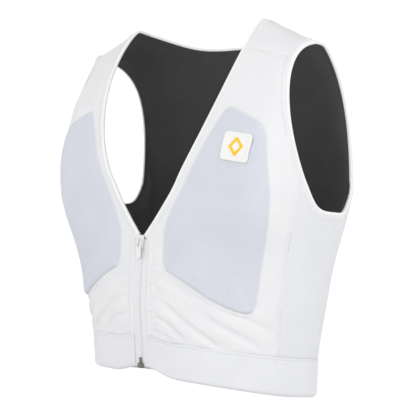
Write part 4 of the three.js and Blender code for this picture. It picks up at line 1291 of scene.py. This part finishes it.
neck_edge = EdgeLine(*neck_line(), into=-1).evened(NECK_STATIONS)
armhole_edge = EdgeLine(*armhole_line(), into=1, closed=True).evened(ARMHOLE_STATIONS)
settle(binding("neck_band", neck_edge, NECK_INNER), "neck_binding")
for side, word in SIDES:
    band = binding(f"armhole_band_{word}", armhole_edge, ARMHOLE_INNER, side)
    settle(band, f"armhole_binding_{word}")
print("neck edge", round(neck_edge.run[-1]), "mm, armhole edge", round(armhole_edge.run[-1]), "mm")

# %% [markdown]
# ## Lining
# Inside, the vest is lined in plain dark knit. It is seen through the neck and the armholes, so its sheets
# lap behind each other and no white shows between them.

# %% Lining
LINING = 0.8
LINING_DEPTH = 2.6
LINING_POCKET = 4.6
LINING_STEP = 1.3
LINING_INSET = 0.9
LINING_AT_EDGE = -1.5
LINING_LAP = 0.2
LINING_LOW_RISE = 0.06
FOLD_ROOM = 2.6
LINING_DRAWN_UP = {"near": 4.0, "far": 15.0}
mirrored_edge = armhole_edge.points * np.array([-1, 1, 1])
bound_edges = np.concatenate([neck_edge.points, armhole_edge.points, mirrored_edge])
edge_finder = KDTree(len(bound_edges))
for index, point in enumerate(bound_edges):
    edge_finder.insert(point, index)
edge_finder.balance()


def drawn_up(turn, rise, offset, at_edge=LINING_AT_EDGE):
    """Lining offsets, brought up to the cloth where a binding takes both."""
    points = form_point(turn, rise).reshape(-1, 3)
    away = np.array([edge_finder.find(point)[2] for point in points]).reshape(turn.shape)
    return mix(at_edge, offset, smooth(LINING_DRAWN_UP["near"], LINING_DRAWN_UP["far"], away))


def front_lining_offset(turn, rise):
    pattern = to_pattern(turn, rise)
    inset, _ = edge_distance(PAD_OUTLINE, pattern)
    behind_pad = LINING_POCKET * smooth(-12, 3, inset)
    behind_folds = FOLD_ROOM * smooth(0.62, 0.42, rise)
    return drawn_up(turn, rise, -LINING_DEPTH - np.maximum(behind_pad, behind_folds))


def front_lining_places(rows, columns):
    rise = np.linspace(LINING_LOW_RISE, SHOULDER_SEAM_RISE + 0.06, rows)[:, None]
    across = np.linspace(0, 1, columns)[None, :]
    neck_edge = np.where(rise < ZIP_TOP_RISE, 0, neck_turn(rise, LINING_INSET))
    inner = np.maximum(turn_at_x(ZIP_HALF_WIDTH - 3, rise), neck_edge)
    outer = np.minimum(front_seam_turn(rise) + 3, armhole_turn(rise, LINING_INSET, False))
    return mix(inner, outer, across), np.broadcast_to(rise, (rows, columns))


def side_lining_places(rows, columns):
    across = np.linspace(0, 1, columns)[None, :]
    up = np.linspace(0, 1, rows)[:, None]
    top = armhole_low_rise(mix(front_seam_turn(1.0) - 4, BACK_SEAM_TURN + 4, across), LINING_INSET)
    rise = mix(LINING_LOW_RISE, top, up)
    return mix(front_seam_turn(rise) - 4, BACK_SEAM_TURN + 4, across), rise


front_grid = front_lining_places(90, 60)
front_depth = front_lining_offset(*front_grid)
side_grid = side_lining_places(50, 44)
side_depth = drawn_up(*side_grid, -LINING_DEPTH - FOLD_ROOM - LINING_STEP, LINING_AT_EDGE - LINING_LAP)
for side, word in SIDES:
    piece = cloth_sheet(f"front_lining_{word}", *front_grid, front_depth, LINING_KNIT, side)
    sew_in(thicken(piece, LINING), f"lining_front_{word}")
    piece = cloth_sheet(f"side_lining_{word}", *side_grid, side_depth, LINING_KNIT, side)
    sew_in(thicken(piece, LINING), f"lining_side_{word}")

trunk, strap = back_places(LINING_INSET, LINING_INSET, 80, 30, LINING_LOW_RISE)
grids = [(*trunk, drawn_up(*trunk, -LINING_DEPTH), 1)]
grids += [(*strap, drawn_up(*strap, -LINING_DEPTH), side) for side in (1, -1)]
piece = thicken(joined_sheet("back_lining", grids, LINING_KNIT), LINING)
sew_in(piece, "lining_back")

# %% [markdown]
# ## Waistband
# A 40 mm woven elastic with ribs along it. It grips, so it only ripples a little near the zip.

# %% Waistband
BAND_COLUMNS = 420
BAND_ROLL = {"height": 5.5, "depth": 4.0}
BAND_SEAM_TURN = 77.0
BAND_PROUD = 0.8
BAND_THICK = 1.6
BAND_SINK = 0.25
BAND_CROWN = 0.35
BAND_LIP = {"height": 0.35, "at": 1.0, "width": 1.0}
BAND_STITCH = {"depth": 0.4, "at": 3.2, "width": 0.8}
BAND_CURL = {"depth": 0.4, "width": 0.6}
BAND_SEAM = {"depth": 0.5, "width": 0.9}
BAND_EDGE = 0.4
BAND_ROWS = [
    {"from": 0.0, "to": 5.0, "count": 8},
    {"from": 6.5, "to": 34.0, "count": 12},
    {"from": 35.0, "to": 40.7, "count": 9},
]
BAND_RIPPLES = [
    {"turn": 17, "spread": 3.0, "height": 0.7},
    {"turn": 25, "spread": 3.6, "height": -0.6},
    {"turn": 33, "spread": 4.0, "height": 0.5},
    {"turn": 45, "spread": 6.0, "height": -0.4},
]


def band_offset(turn, rise):
    up = rise / WAIST_RISE
    crown = BAND_CROWN * (1 - (2 * up - 1) ** 4)
    from_front = np.abs(np.degrees(np.arctan2(np.sin(np.radians(turn)), np.cos(np.radians(turn)))))
    ripples = sum(row["height"] * hump(from_front, row["turn"], row["spread"]) for row in BAND_RIPPLES)
    above_hem = rise * ARMPIT_HEIGHT
    below_top = (WAIST_RISE - rise) * ARMPIT_HEIGHT
    roll = BAND_ROLL["depth"] * np.clip(1 - above_hem / BAND_ROLL["height"], 0, 1) ** 2.4
    lip = BAND_LIP["height"] * hump(below_top, BAND_LIP["at"], BAND_LIP["width"])
    lip = lip - BAND_STITCH["depth"] * hump(below_top, BAND_STITCH["at"], BAND_STITCH["width"])
    from_seam = (from_front - BAND_SEAM_TURN) * PATTERN_PER_DEGREE
    seam = BAND_SEAM["depth"] * hump(from_seam, 0, BAND_SEAM["width"])
    curl = BAND_CURL["depth"] * hump(below_top, 0, BAND_CURL["width"])
    return BAND_PROUD - BAND_SINK + crown + lip - curl + ripples * (0.35 + 0.65 * up) - roll - seam


band_start = float(turn_at_x(ZIP_HALF_WIDTH, 0.0))
band_heights = [np.linspace(rows["from"], rows["to"], rows["count"]) for rows in BAND_ROWS]
band_turns = np.linspace(band_start, 360 - band_start, BAND_COLUMNS)
turn, rise = np.meshgrid(band_turns, np.concatenate(band_heights) / ARMPIT_HEIGHT)
waistband = cloth_sheet("waist_elastic", turn, rise, band_offset(turn, rise), ELASTIC_WEAVE)
sew_in(thicken(waistband, BAND_THICK, BAND_EDGE), "waistband")

# %% [markdown]
# ## Chest pads
# Soft foam under pale knit. A pad is sewn flat and swells where nothing holds it, which is what a cloth
# simulation with a little pressure does: the back and the rim are pinned, the face is blown up, and the
# swelling is capped. The grid is a square bent into the pad's outline, so it has no pole to pinch.

# %% Pad shape
PAD_GRID = 84
PAD_SOFT = {"height": 2.2, "width": 6.0}
PAD_CRISP = {"height": 3.6, "width": 1.7}
PAD_BACK = 4.9
PAD_SETTLE = 30.0
PAD_RIM = {"depth": 0.35, "width": 1.5}


def pad_pattern():
    """Pattern points of the pad's grid: a square, bent to a disc, stretched to the outline."""
    line = np.linspace(-1, 1, PAD_GRID + 1)
    x, y = np.meshgrid(line, line)
    disc_x = x * np.sqrt(1 - y**2 / 2)
    disc_y = y * np.sqrt(1 - x**2 / 2)
    radius = np.clip(np.hypot(disc_x, disc_y), 0, 1)
    angle = np.arctan2(disc_y, disc_x)
    centre = to_pattern(*PAD_CENTRE)
    spoke = PAD_OUTLINE - centre
    spoke_angle = np.arctan2(spoke[:, 1], spoke[:, 0])
    order = np.argsort(spoke_angle)
    reach = np.interp(angle, spoke_angle[order], np.linalg.norm(spoke, axis=1)[order], period=2 * np.pi)
    spread = (radius * reach)[..., None]
    return centre + spread * np.stack([np.cos(angle), np.sin(angle)], -1)


def pad_heights(pattern):
    inset, nearest = edge_distance(PAD_OUTLINE, pattern)
    inset = np.maximum(inset, 0)
    crisp = PAD_CRISPNESS[nearest]
    height = mix(PAD_SOFT["height"], PAD_CRISP["height"], crisp)
    width = mix(PAD_SOFT["width"], PAD_CRISP["width"], crisp)
    front = height * (1 - np.exp(-((inset / width) ** 1.3)))
    settled = PAD_SOFT["height"] + (front - PAD_SOFT["height"]) * hump(inset, 0, PAD_SETTLE)
    front = np.where(inset > width, np.maximum(settled, 0), front)
    front = front - PAD_RIM["depth"] * hump(inset, 0, PAD_RIM["width"])
    thin = PAD_RIM["depth"] + 0.2
    return front, -thin - (PAD_BACK - thin) * smooth(RECESS_FROM, RECESS_TO + 1, inset)


pad_flat = pad_pattern()
pad_front, pad_back = pad_heights(pad_flat)
print("pad stands", round(float(pad_front.max()), 2), "mm proud")

# %% [markdown]
# The front and the back of a pad are two grids that share the points of the rim, so the pad is closed. The
# simulation runs on that mesh for a few frames, its result is kept as the mesh, and no Cloth stays on it.

# %% Pad mesh and its swelling
SWELL_PRESSURE = 4.0
SWELL_FRAMES = 20
SWELL_CAP = 1.3
RIM_FADE = 4.5


def pad_mesh(name, side):
    """A closed pad: the front grid and the back grid share the points of the rim."""
    count = PAD_GRID + 1
    turn, rise = from_pattern(pad_flat)
    on_rim = np.zeros((count, count), bool)
    on_rim[[0, -1], :] = on_rim[:, [0, -1]] = True
    front = on_form(turn, rise, pad_front)
    rear = on_form(turn, rise, pad_back)
    back_index = np.arange(count * count).reshape(count, count).copy()
    back_index[~on_rim] = count * count + np.arange((~on_rim).sum())
    points = np.concatenate([front.reshape(-1, 3), rear[~on_rim]]) * np.array([side, 1, 1])
    uv = np.concatenate([pad_flat.reshape(-1, 2), pad_flat[~on_rim]]) * np.array([side, 1])
    front_faces = grid_faces(count, count, flip=side < 0)
    rear_faces = [[int(back_index.flat[k]) for k in face][::-1] for face in front_faces]
    made = mesh_object(name, points, front_faces + rear_faces, uv, PAD_KNIT)
    inset, nearest = edge_distance(PAD_OUTLINE, pad_flat)
    rim = np.zeros(len(points), np.float32)
    rim[: count * count] = (smooth(RIM_FADE, 0, inset) * (1 - PAD_CRISPNESS[nearest])).ravel()
    paint_rim(made, rim)
    return made, smooth(0.5, 9, inset).ravel()


def swell(piece, free):
    """Blows up the face with the back and the rim pinned, then caps how far each point has moved."""
    held = piece.vertex_groups.new(name="held")
    total = len(piece.data.vertices)
    weights = np.ones(total)
    weights[: len(free)] = 1 - free
    for index in range(total):
        held.add([index], float(weights[index]), "REPLACE")
    rest = np.empty(total * 3)
    piece.data.vertices.foreach_get("co", rest)
    cloth = piece.modifiers.new("swell", "CLOTH")
    cloth.settings.vertex_group_mass = "held"
    cloth.settings.quality = 6
    cloth.settings.mass = 0.2
    cloth.settings.use_pressure = True
    cloth.settings.uniform_pressure_force = SWELL_PRESSURE
    cloth.settings.effector_weights.gravity = 0
    cloth.point_cache.frame_start = 1
    cloth.point_cache.frame_end = SWELL_FRAMES
    for frame_number in range(1, SWELL_FRAMES + 1):
        scene.frame_set(frame_number)
    shown = piece.evaluated_get(bpy.context.evaluated_depsgraph_get())
    blown = np.empty(total * 3)
    shown.data.vertices.foreach_get("co", blown)
    piece.modifiers.remove(cloth)
    piece.vertex_groups.remove(held)
    scene.frame_set(1)
    rest, blown = rest.reshape(-1, 3), blown.reshape(-1, 3)
    moved = blown - rest
    length = np.linalg.norm(moved, axis=1, keepdims=True) + 1e-12
    capped = SWELL_CAP * MM * np.tanh(length / (SWELL_CAP * MM))
    piece.data.vertices.foreach_set("co", (rest + moved / length * capped).ravel())
    piece.data.update()
    return float(length.max() / MM)


for side, word in SIDES:
    pad, free = pad_mesh(f"soft_pad_{word}", side)
    print(pad.name, "swelled", round(swell(pad, free), 2), "mm before the cap")
    finer = pad.modifiers.new("finer", "SUBSURF")
    finer.levels = finer.render_levels = 1
    settle(pad, f"chest_pad_{word}")

# %% [markdown]
# ## Badge
# A moulded rubber patch with a raised rim on the left pad. It carries a plain amber lozenge.

# %% Badge
BADGE_CENTRE = (41.5, 1.117)
BADGE_CORNERS = [
    {"turn": 35.0, "rise": 1.178, "round": 4},
    {"turn": 48.9, "rise": 1.166, "round": 4},
    {"turn": 47.6, "rise": 1.054, "round": 4},
    {"turn": 34.3, "rise": 1.069, "round": 4},
]
BADGE_SECTION = [
    {"share": 0.0, "out": 4.35},
    {"share": 0.45, "out": 4.35},
    {"share": 0.84, "out": 4.35},
    {"share": 0.88, "out": 4.7},
    {"share": 0.95, "out": 4.75},
    {"share": 0.985, "out": 4.5},
    {"share": 1.0, "out": 3.9},
    {"share": 0.985, "out": 2.4},
    {"share": 0.5, "out": 2.4},
    {"share": 0.0, "out": 2.4},
]
MARK_SIZE = 8.5
MARK_STROKE = 3.6
MARK_ROUND = 1.2
MIDDLE_RING = 0.02
LOZENGE = [(0, 1), (1, 0), (0, -1), (-1, 0)]
MARK_SECTION = [
    {"share": 1 - MARK_STROKE / MARK_SIZE, "out": 4.2},
    {"share": 1.02 - MARK_STROKE / MARK_SIZE, "out": 4.95},
    {"share": 1 - MARK_STROKE / MARK_SIZE / 2, "out": 5.1},
    {"share": 0.98, "out": 4.95},
    {"share": 1.0, "out": 4.2},
]


def moulded(name, outline, section, material, closed):
    """A section given as shares of the way from the centre to an outline, carried round that outline."""
    centre = to_pattern(*BADGE_CENTRE)
    rings = []
    for row in section:
        pattern = centre + (outline - centre) * max(row["share"], MIDDLE_RING)
        turn, rise = from_pattern(pattern)
        rings.append((on_form(turn, rise, row["out"]), pattern))
    points = np.concatenate([ring[0] for ring in rings])
    uv = np.concatenate([ring[1] for ring in rings])
    count = len(outline)
    faces = grid_faces(len(section), count, closed=True)
    if closed:
        last = (len(section) - 1) * count
        faces += [[last + k, last + (k + 1) % count, (k + 1) % count, k] for k in range(count)]
    else:
        faces.append(list(range(count))[::-1])
        faces.append([(len(section) - 1) * count + k for k in range(count)])
    made = mesh_object(name, points, faces, uv, material)
    made.data.set_sharp_from_angle(angle=math.radians(60))
    return made


badge_outline = rounded_outline(BADGE_CORNERS, 72)
badge_middle = to_pattern(*BADGE_CENTRE)
mark_corners = []
for x, y in LOZENGE:
    turn, rise = from_pattern(badge_middle + MARK_SIZE * np.array([x, y]))
    mark_corners.append({"turn": turn, "rise": rise, "round": MARK_ROUND})
mark_outline = rounded_outline(mark_corners, 64)
badge = moulded("badge_patch", badge_outline, BADGE_SECTION, BADGE_RUBBER, False)
settle(badge, "badge")
mark = moulded("badge_lozenge", mark_outline, MARK_SECTION, BADGE_AMBER, True)
settle(mark, "badge_mark")
print("badge is", np.round(np.ptp(badge_outline, axis=0), 1), "mm")

# %% [markdown]
# ## Small things along a path
# Stitches and zip teeth are the same job: one small shape, again and again, along a line, facing out of
# the cloth. A Geometry Nodes tree does it once for both, with the pitch and the size as its inputs.

# %% Path tree
def make_path_tree():
    tree = bpy.data.node_groups.new("along_a_path", "GeometryNodeTree")
    for title, kind in (
        ("Geometry", "NodeSocketGeometry"),
        ("Pitch", "NodeSocketFloat"),
        ("Size", "NodeSocketVector"),
        ("Shift", "NodeSocketVector"),
        ("Roundness", "NodeSocketInt"),
        ("Finish", "NodeSocketMaterial"),
    ):
        tree.interface.new_socket(title, in_out="INPUT", socket_type=kind)
    tree.interface.new_socket("Geometry", in_out="OUTPUT", socket_type="NodeSocketGeometry")
    given, out = new_node(tree, "NodeGroupInput"), new_node(tree, "NodeGroupOutput")
    curve = new_node(tree, "GeometryNodeMeshToCurve")
    spaced = new_node(tree, "GeometryNodeResampleCurve", mode="LENGTH")
    shape = new_node(tree, "GeometryNodeMeshIcoSphere")
    shape.inputs["Radius"].default_value = 0.5
    sized = new_node(tree, "GeometryNodeTransform")
    tangent = new_node(tree, "GeometryNodeInputTangent")
    facing = new_node(tree, "GeometryNodeInputNamedAttribute", data_type="FLOAT_VECTOR")
    facing.inputs["Name"].default_value = "facing"
    ahead = new_node(tree, "FunctionNodeAlignRotationToVector", axis="X")
    upright = new_node(tree, "FunctionNodeAlignRotationToVector", axis="Z", pivot_axis="X")
    placed = new_node(tree, "GeometryNodeInstanceOnPoints")
    real = new_node(tree, "GeometryNodeRealizeInstances")
    soft = new_node(tree, "GeometryNodeSetShadeSmooth")
    finish = new_node(tree, "GeometryNodeSetMaterial")
    links = tree.links
    links.new(given.outputs["Geometry"], curve.inputs["Mesh"])
    links.new(curve.outputs["Curve"], spaced.inputs["Curve"])
    links.new(given.outputs["Pitch"], spaced.inputs["Length"])
    links.new(given.outputs["Roundness"], shape.inputs["Subdivisions"])
    links.new(shape.outputs["Mesh"], sized.inputs["Geometry"])
    links.new(given.outputs["Size"], sized.inputs["Scale"])
    links.new(given.outputs["Shift"], sized.inputs["Translation"])
    links.new(tangent.outputs["Tangent"], ahead.inputs["Vector"])
    links.new(ahead.outputs["Rotation"], upright.inputs["Rotation"])
    links.new(facing.outputs["Attribute"], upright.inputs["Vector"])
    links.new(spaced.outputs["Curve"], placed.inputs["Points"])
    links.new(sized.outputs["Geometry"], placed.inputs["Instance"])
    links.new(upright.outputs["Rotation"], placed.inputs["Rotation"])
    links.new(placed.outputs["Instances"], real.inputs["Geometry"])
    links.new(real.outputs["Geometry"], soft.inputs["Geometry"])
    links.new(soft.outputs["Geometry"], finish.inputs["Geometry"])
    links.new(given.outputs["Finish"], finish.inputs["Material"])
    links.new(finish.outputs["Geometry"], out.inputs["Geometry"])
    return tree


PATH_TREE = make_path_tree()
print("path tree has", len(PATH_TREE.nodes), "nodes")


def along_paths(name, paths, pitch, size, shift, roundness, material):
    """Small shapes along paths, each (points, facing, closed) in millimetres, as one plain mesh."""
    points, edges, facings, first = [], [], [], 0
    for line, facing, closed in paths:
        points.append(line)
        facings.append(facing)
        count = len(line)
        edges += [(first + k, first + k + 1) for k in range(count - 1)]
        if closed:
            edges.append((first + count - 1, first))
        first += count
    guide = bpy.data.meshes.new(f"{name}_guide")
    guide.from_pydata((np.concatenate(points) * MM).tolist(), edges, [])
    attribute = guide.attributes.new("facing", "FLOAT_VECTOR", "POINT")
    attribute.data.foreach_set("vector", np.concatenate(facings).astype(np.float32).ravel())
    carrier = bpy.data.objects.new(f"{name}_guide", guide)
    scene.collection.objects.link(carrier)
    modifier = carrier.modifiers.new("along", "NODES")
    modifier.node_group = PATH_TREE
    values = {
        "Pitch": pitch * MM,
        "Size": [s * MM for s in size],
        "Shift": [s * MM for s in shift],
        "Roundness": roundness,
        "Finish": material,
    }
    for socket in PATH_TREE.interface.items_tree:
        if socket.in_out == "INPUT" and socket.name in values:
            modifier[socket.identifier] = values[socket.name]
    shown = carrier.evaluated_get(bpy.context.evaluated_depsgraph_get())
    mesh = bpy.data.meshes.new_from_object(shown)
    mesh.name = name
    made = bpy.data.objects.new(name, mesh)
    scene.collection.objects.link(made)
    bpy.data.objects.remove(carrier)
    print(name, "has", len(mesh.polygons), "faces")
    return made

# %% [markdown]
# ## Stitches
# Two rows of stitches hold each binding. One row holds the waistband, and one runs beside the zip and beside
# each side seam. They are small threads of their own, because their shadow is what shows.

# %% Stitch lines
STITCH_PITCH = 3.0
STITCH_SIZE = (2.3, 0.5, 0.42)
COVER_INSETS = (4.6, 6.5)
COVER_OUT = 0.34
THREAD_PROUD = 0.1
SEAM_POINTS = 140


def edge_paths(line):
    return [(line.offset(inset, COVER_OUT), line.out, line.closed) for inset in COVER_INSETS]


def mirrored(paths):
    flip = np.array([-1, 1, 1])
    return [(points * flip, facing * flip, closed) for points, facing, closed in paths]


def place_path(turn, rise, offset):
    return on_form(turn, rise, offset), form_normal(turn, rise), False


def zip_path():
    rise = np.linspace(WAIST_RISE, ZIP_TOP_RISE - 0.01, SEAM_POINTS)
    inner = turn_at_x(ZIP_HALF_WIDTH, rise)
    turn = inner + ZIP_MARGIN / PATTERN_PER_DEGREE
    relief = front_panel_offset(turn, rise, inner, front_seam_turn(rise))
    return place_path(turn, rise, relief + THREAD_PROUD)


def front_seam_path():
    low_rise = armhole_low_rise(float(front_seam_turn(0.95)))
    rise = np.linspace(WAIST_RISE, low_rise, SEAM_POINTS)
    outer = front_seam_turn(rise)
    turn = outer - SEAM_MARGIN / PATTERN_PER_DEGREE
    relief = front_panel_offset(turn, rise, turn_at_x(ZIP_HALF_WIDTH, rise), outer)
    return place_path(turn, rise, relief + THREAD_PROUD)


def back_seam_path():
    rise = np.linspace(WAIST_RISE, armhole_low_rise(BACK_SEAM_TURN), SEAM_POINTS)
    turn = np.full(rise.shape, BACK_SEAM_TURN + SEAM_MARGIN / PATTERN_PER_DEGREE)
    return place_path(turn, rise, back_offset(turn, rise) + THREAD_PROUD)


def band_path(drop):
    turn = np.linspace(band_start + 0.8, 360 - band_start - 0.8, 500)
    rise = np.full(turn.shape, WAIST_RISE - drop / ARMPIT_HEIGHT)
    return place_path(turn, rise, band_offset(turn, rise) + THREAD_PROUD)


half_paths = [zip_path(), front_seam_path(), back_seam_path()]
binding_paths = edge_paths(neck_edge) + edge_paths(armhole_edge) + mirrored(edge_paths(armhole_edge))
panel_paths = half_paths + mirrored(half_paths)
for name, paths, slot in (
    ("binding_stitches", binding_paths, "binding"),
    ("panel_stitches", panel_paths, "cloth"),
    ("band_stitches", [band_path(BAND_STITCH["at"])], "elastic"),
):
    # The stitches take the grey finish: painted shade along each stitch line.
    stitches = along_paths(name, paths, STITCH_PITCH, STITCH_SIZE, (0, 0, 0), 1, THREAD_PAINTED_SHADE)
    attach(stitches, BODY)

# %% [markdown]
# ## Zip
# A closed coil zip on two woven tapes. The teeth of each side are set half a pitch apart, so they mesh.
# Slider, pull and end box keep the solids' shape, with their edges rounded.

# %% Zip tapes and teeth
TAPE_INNER = 0.06
TAPE_UNDER = 5.0
TAPE_STEP = {"from": 8.8, "to": 9.4, "under_band": 0.85, "under_cloth": 1.6}
TAPE_THICK = 0.7
TAPE_EDGE = 0.15
TAPE_SINK = 0.25
CHAIN_POINTS = 200
TOOTH_PITCH = 1.3
TOOTH_SIZE = (1.22, 3.0, 0.9)
TOOTH_SHIFT = 1.15
CHAIN_OUT = 0.2
ZIP_BOX_TOP = 13.2


def tape_places():
    rise = np.linspace(0.004, ZIP_TOP_RISE - 0.02, 90)
    shown = np.linspace(TAPE_INNER, TAPE_STEP["from"], 14)
    step = np.linspace(TAPE_STEP["from"], TAPE_STEP["to"], 7)[1:]
    under = np.linspace(TAPE_STEP["to"], ZIP_HALF_WIDTH + TAPE_UNDER, 9)[1:]
    x, rise = np.meshgrid(np.concatenate([shown, step, under]), rise)
    return turn_at_x(x, rise), rise, x


turn, rise, x = tape_places()
under = mix(TAPE_STEP["under_band"], TAPE_STEP["under_cloth"], smooth(WAIST_RISE - 0.01, WAIST_RISE, rise))
sink = -TAPE_SINK - under * smooth(TAPE_STEP["from"], TAPE_STEP["to"], x)
for side, word in SIDES:
    tape = thicken(cloth_sheet(f"zip_web_{word}", turn, rise, sink, TAPE_WEAVE, side), TAPE_THICK, TAPE_EDGE)
    settle(tape, f"zip_tape_{word}")

chain_rise = np.linspace(ZIP_BOX_TOP / ARMPIT_HEIGHT, ZIP_TOP_RISE - 0.024, CHAIN_POINTS)
half_pitch = TOOTH_PITCH / 2 / ARMPIT_HEIGHT
for word, shift, lag in (("left", -TOOTH_SHIFT, 0), ("right", TOOTH_SHIFT, half_pitch)):
    path = place_path(np.zeros(CHAIN_POINTS), chain_rise + lag, np.full(CHAIN_POINTS, CHAIN_OUT))
    teeth = along_paths(f"zip_teeth_{word}", [path], TOOTH_PITCH, TOOTH_SIZE, (0, shift, 0), 2, ZIP_TEETH)
    settle(teeth, "zip_chain")

# %% [markdown]
# The slider, its pull, the box and the pin are hard pieces whose solids already have the right shape. They
# stay as they are, and a narrow bevel takes the sharpness off their edges.

# %% Slider, pull and end box
HARD_EDGE = 0.28
HARD_EDGE_ANGLE = 35
HARD_WELD = 0.005
for node, material in (
    ("zip_slider", ZIP_PLASTIC),
    ("zip_pull", ZIP_PLASTIC),
    ("zip_box", ZIP_METAL),
    ("zip_pin", ZIP_METAL),
):
    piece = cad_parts[node]
    piece.data.materials.clear()
    piece.data.materials.append(material)
    weld = piece.modifiers.new("weld", "WELD")
    weld.merge_threshold = HARD_WELD * MM
    round_edges(piece, HARD_EDGE, HARD_EDGE_ANGLE).harden_normals = True
print("zip hardware keeps its solids")

# %% Write the sizes
dressed_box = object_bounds()
for axis, low, high in zip("xyz", dressed_box[0], dressed_box[1]):
    print("visual", axis, round(low / MM, 1), "to", round(high / MM, 1), "mm")
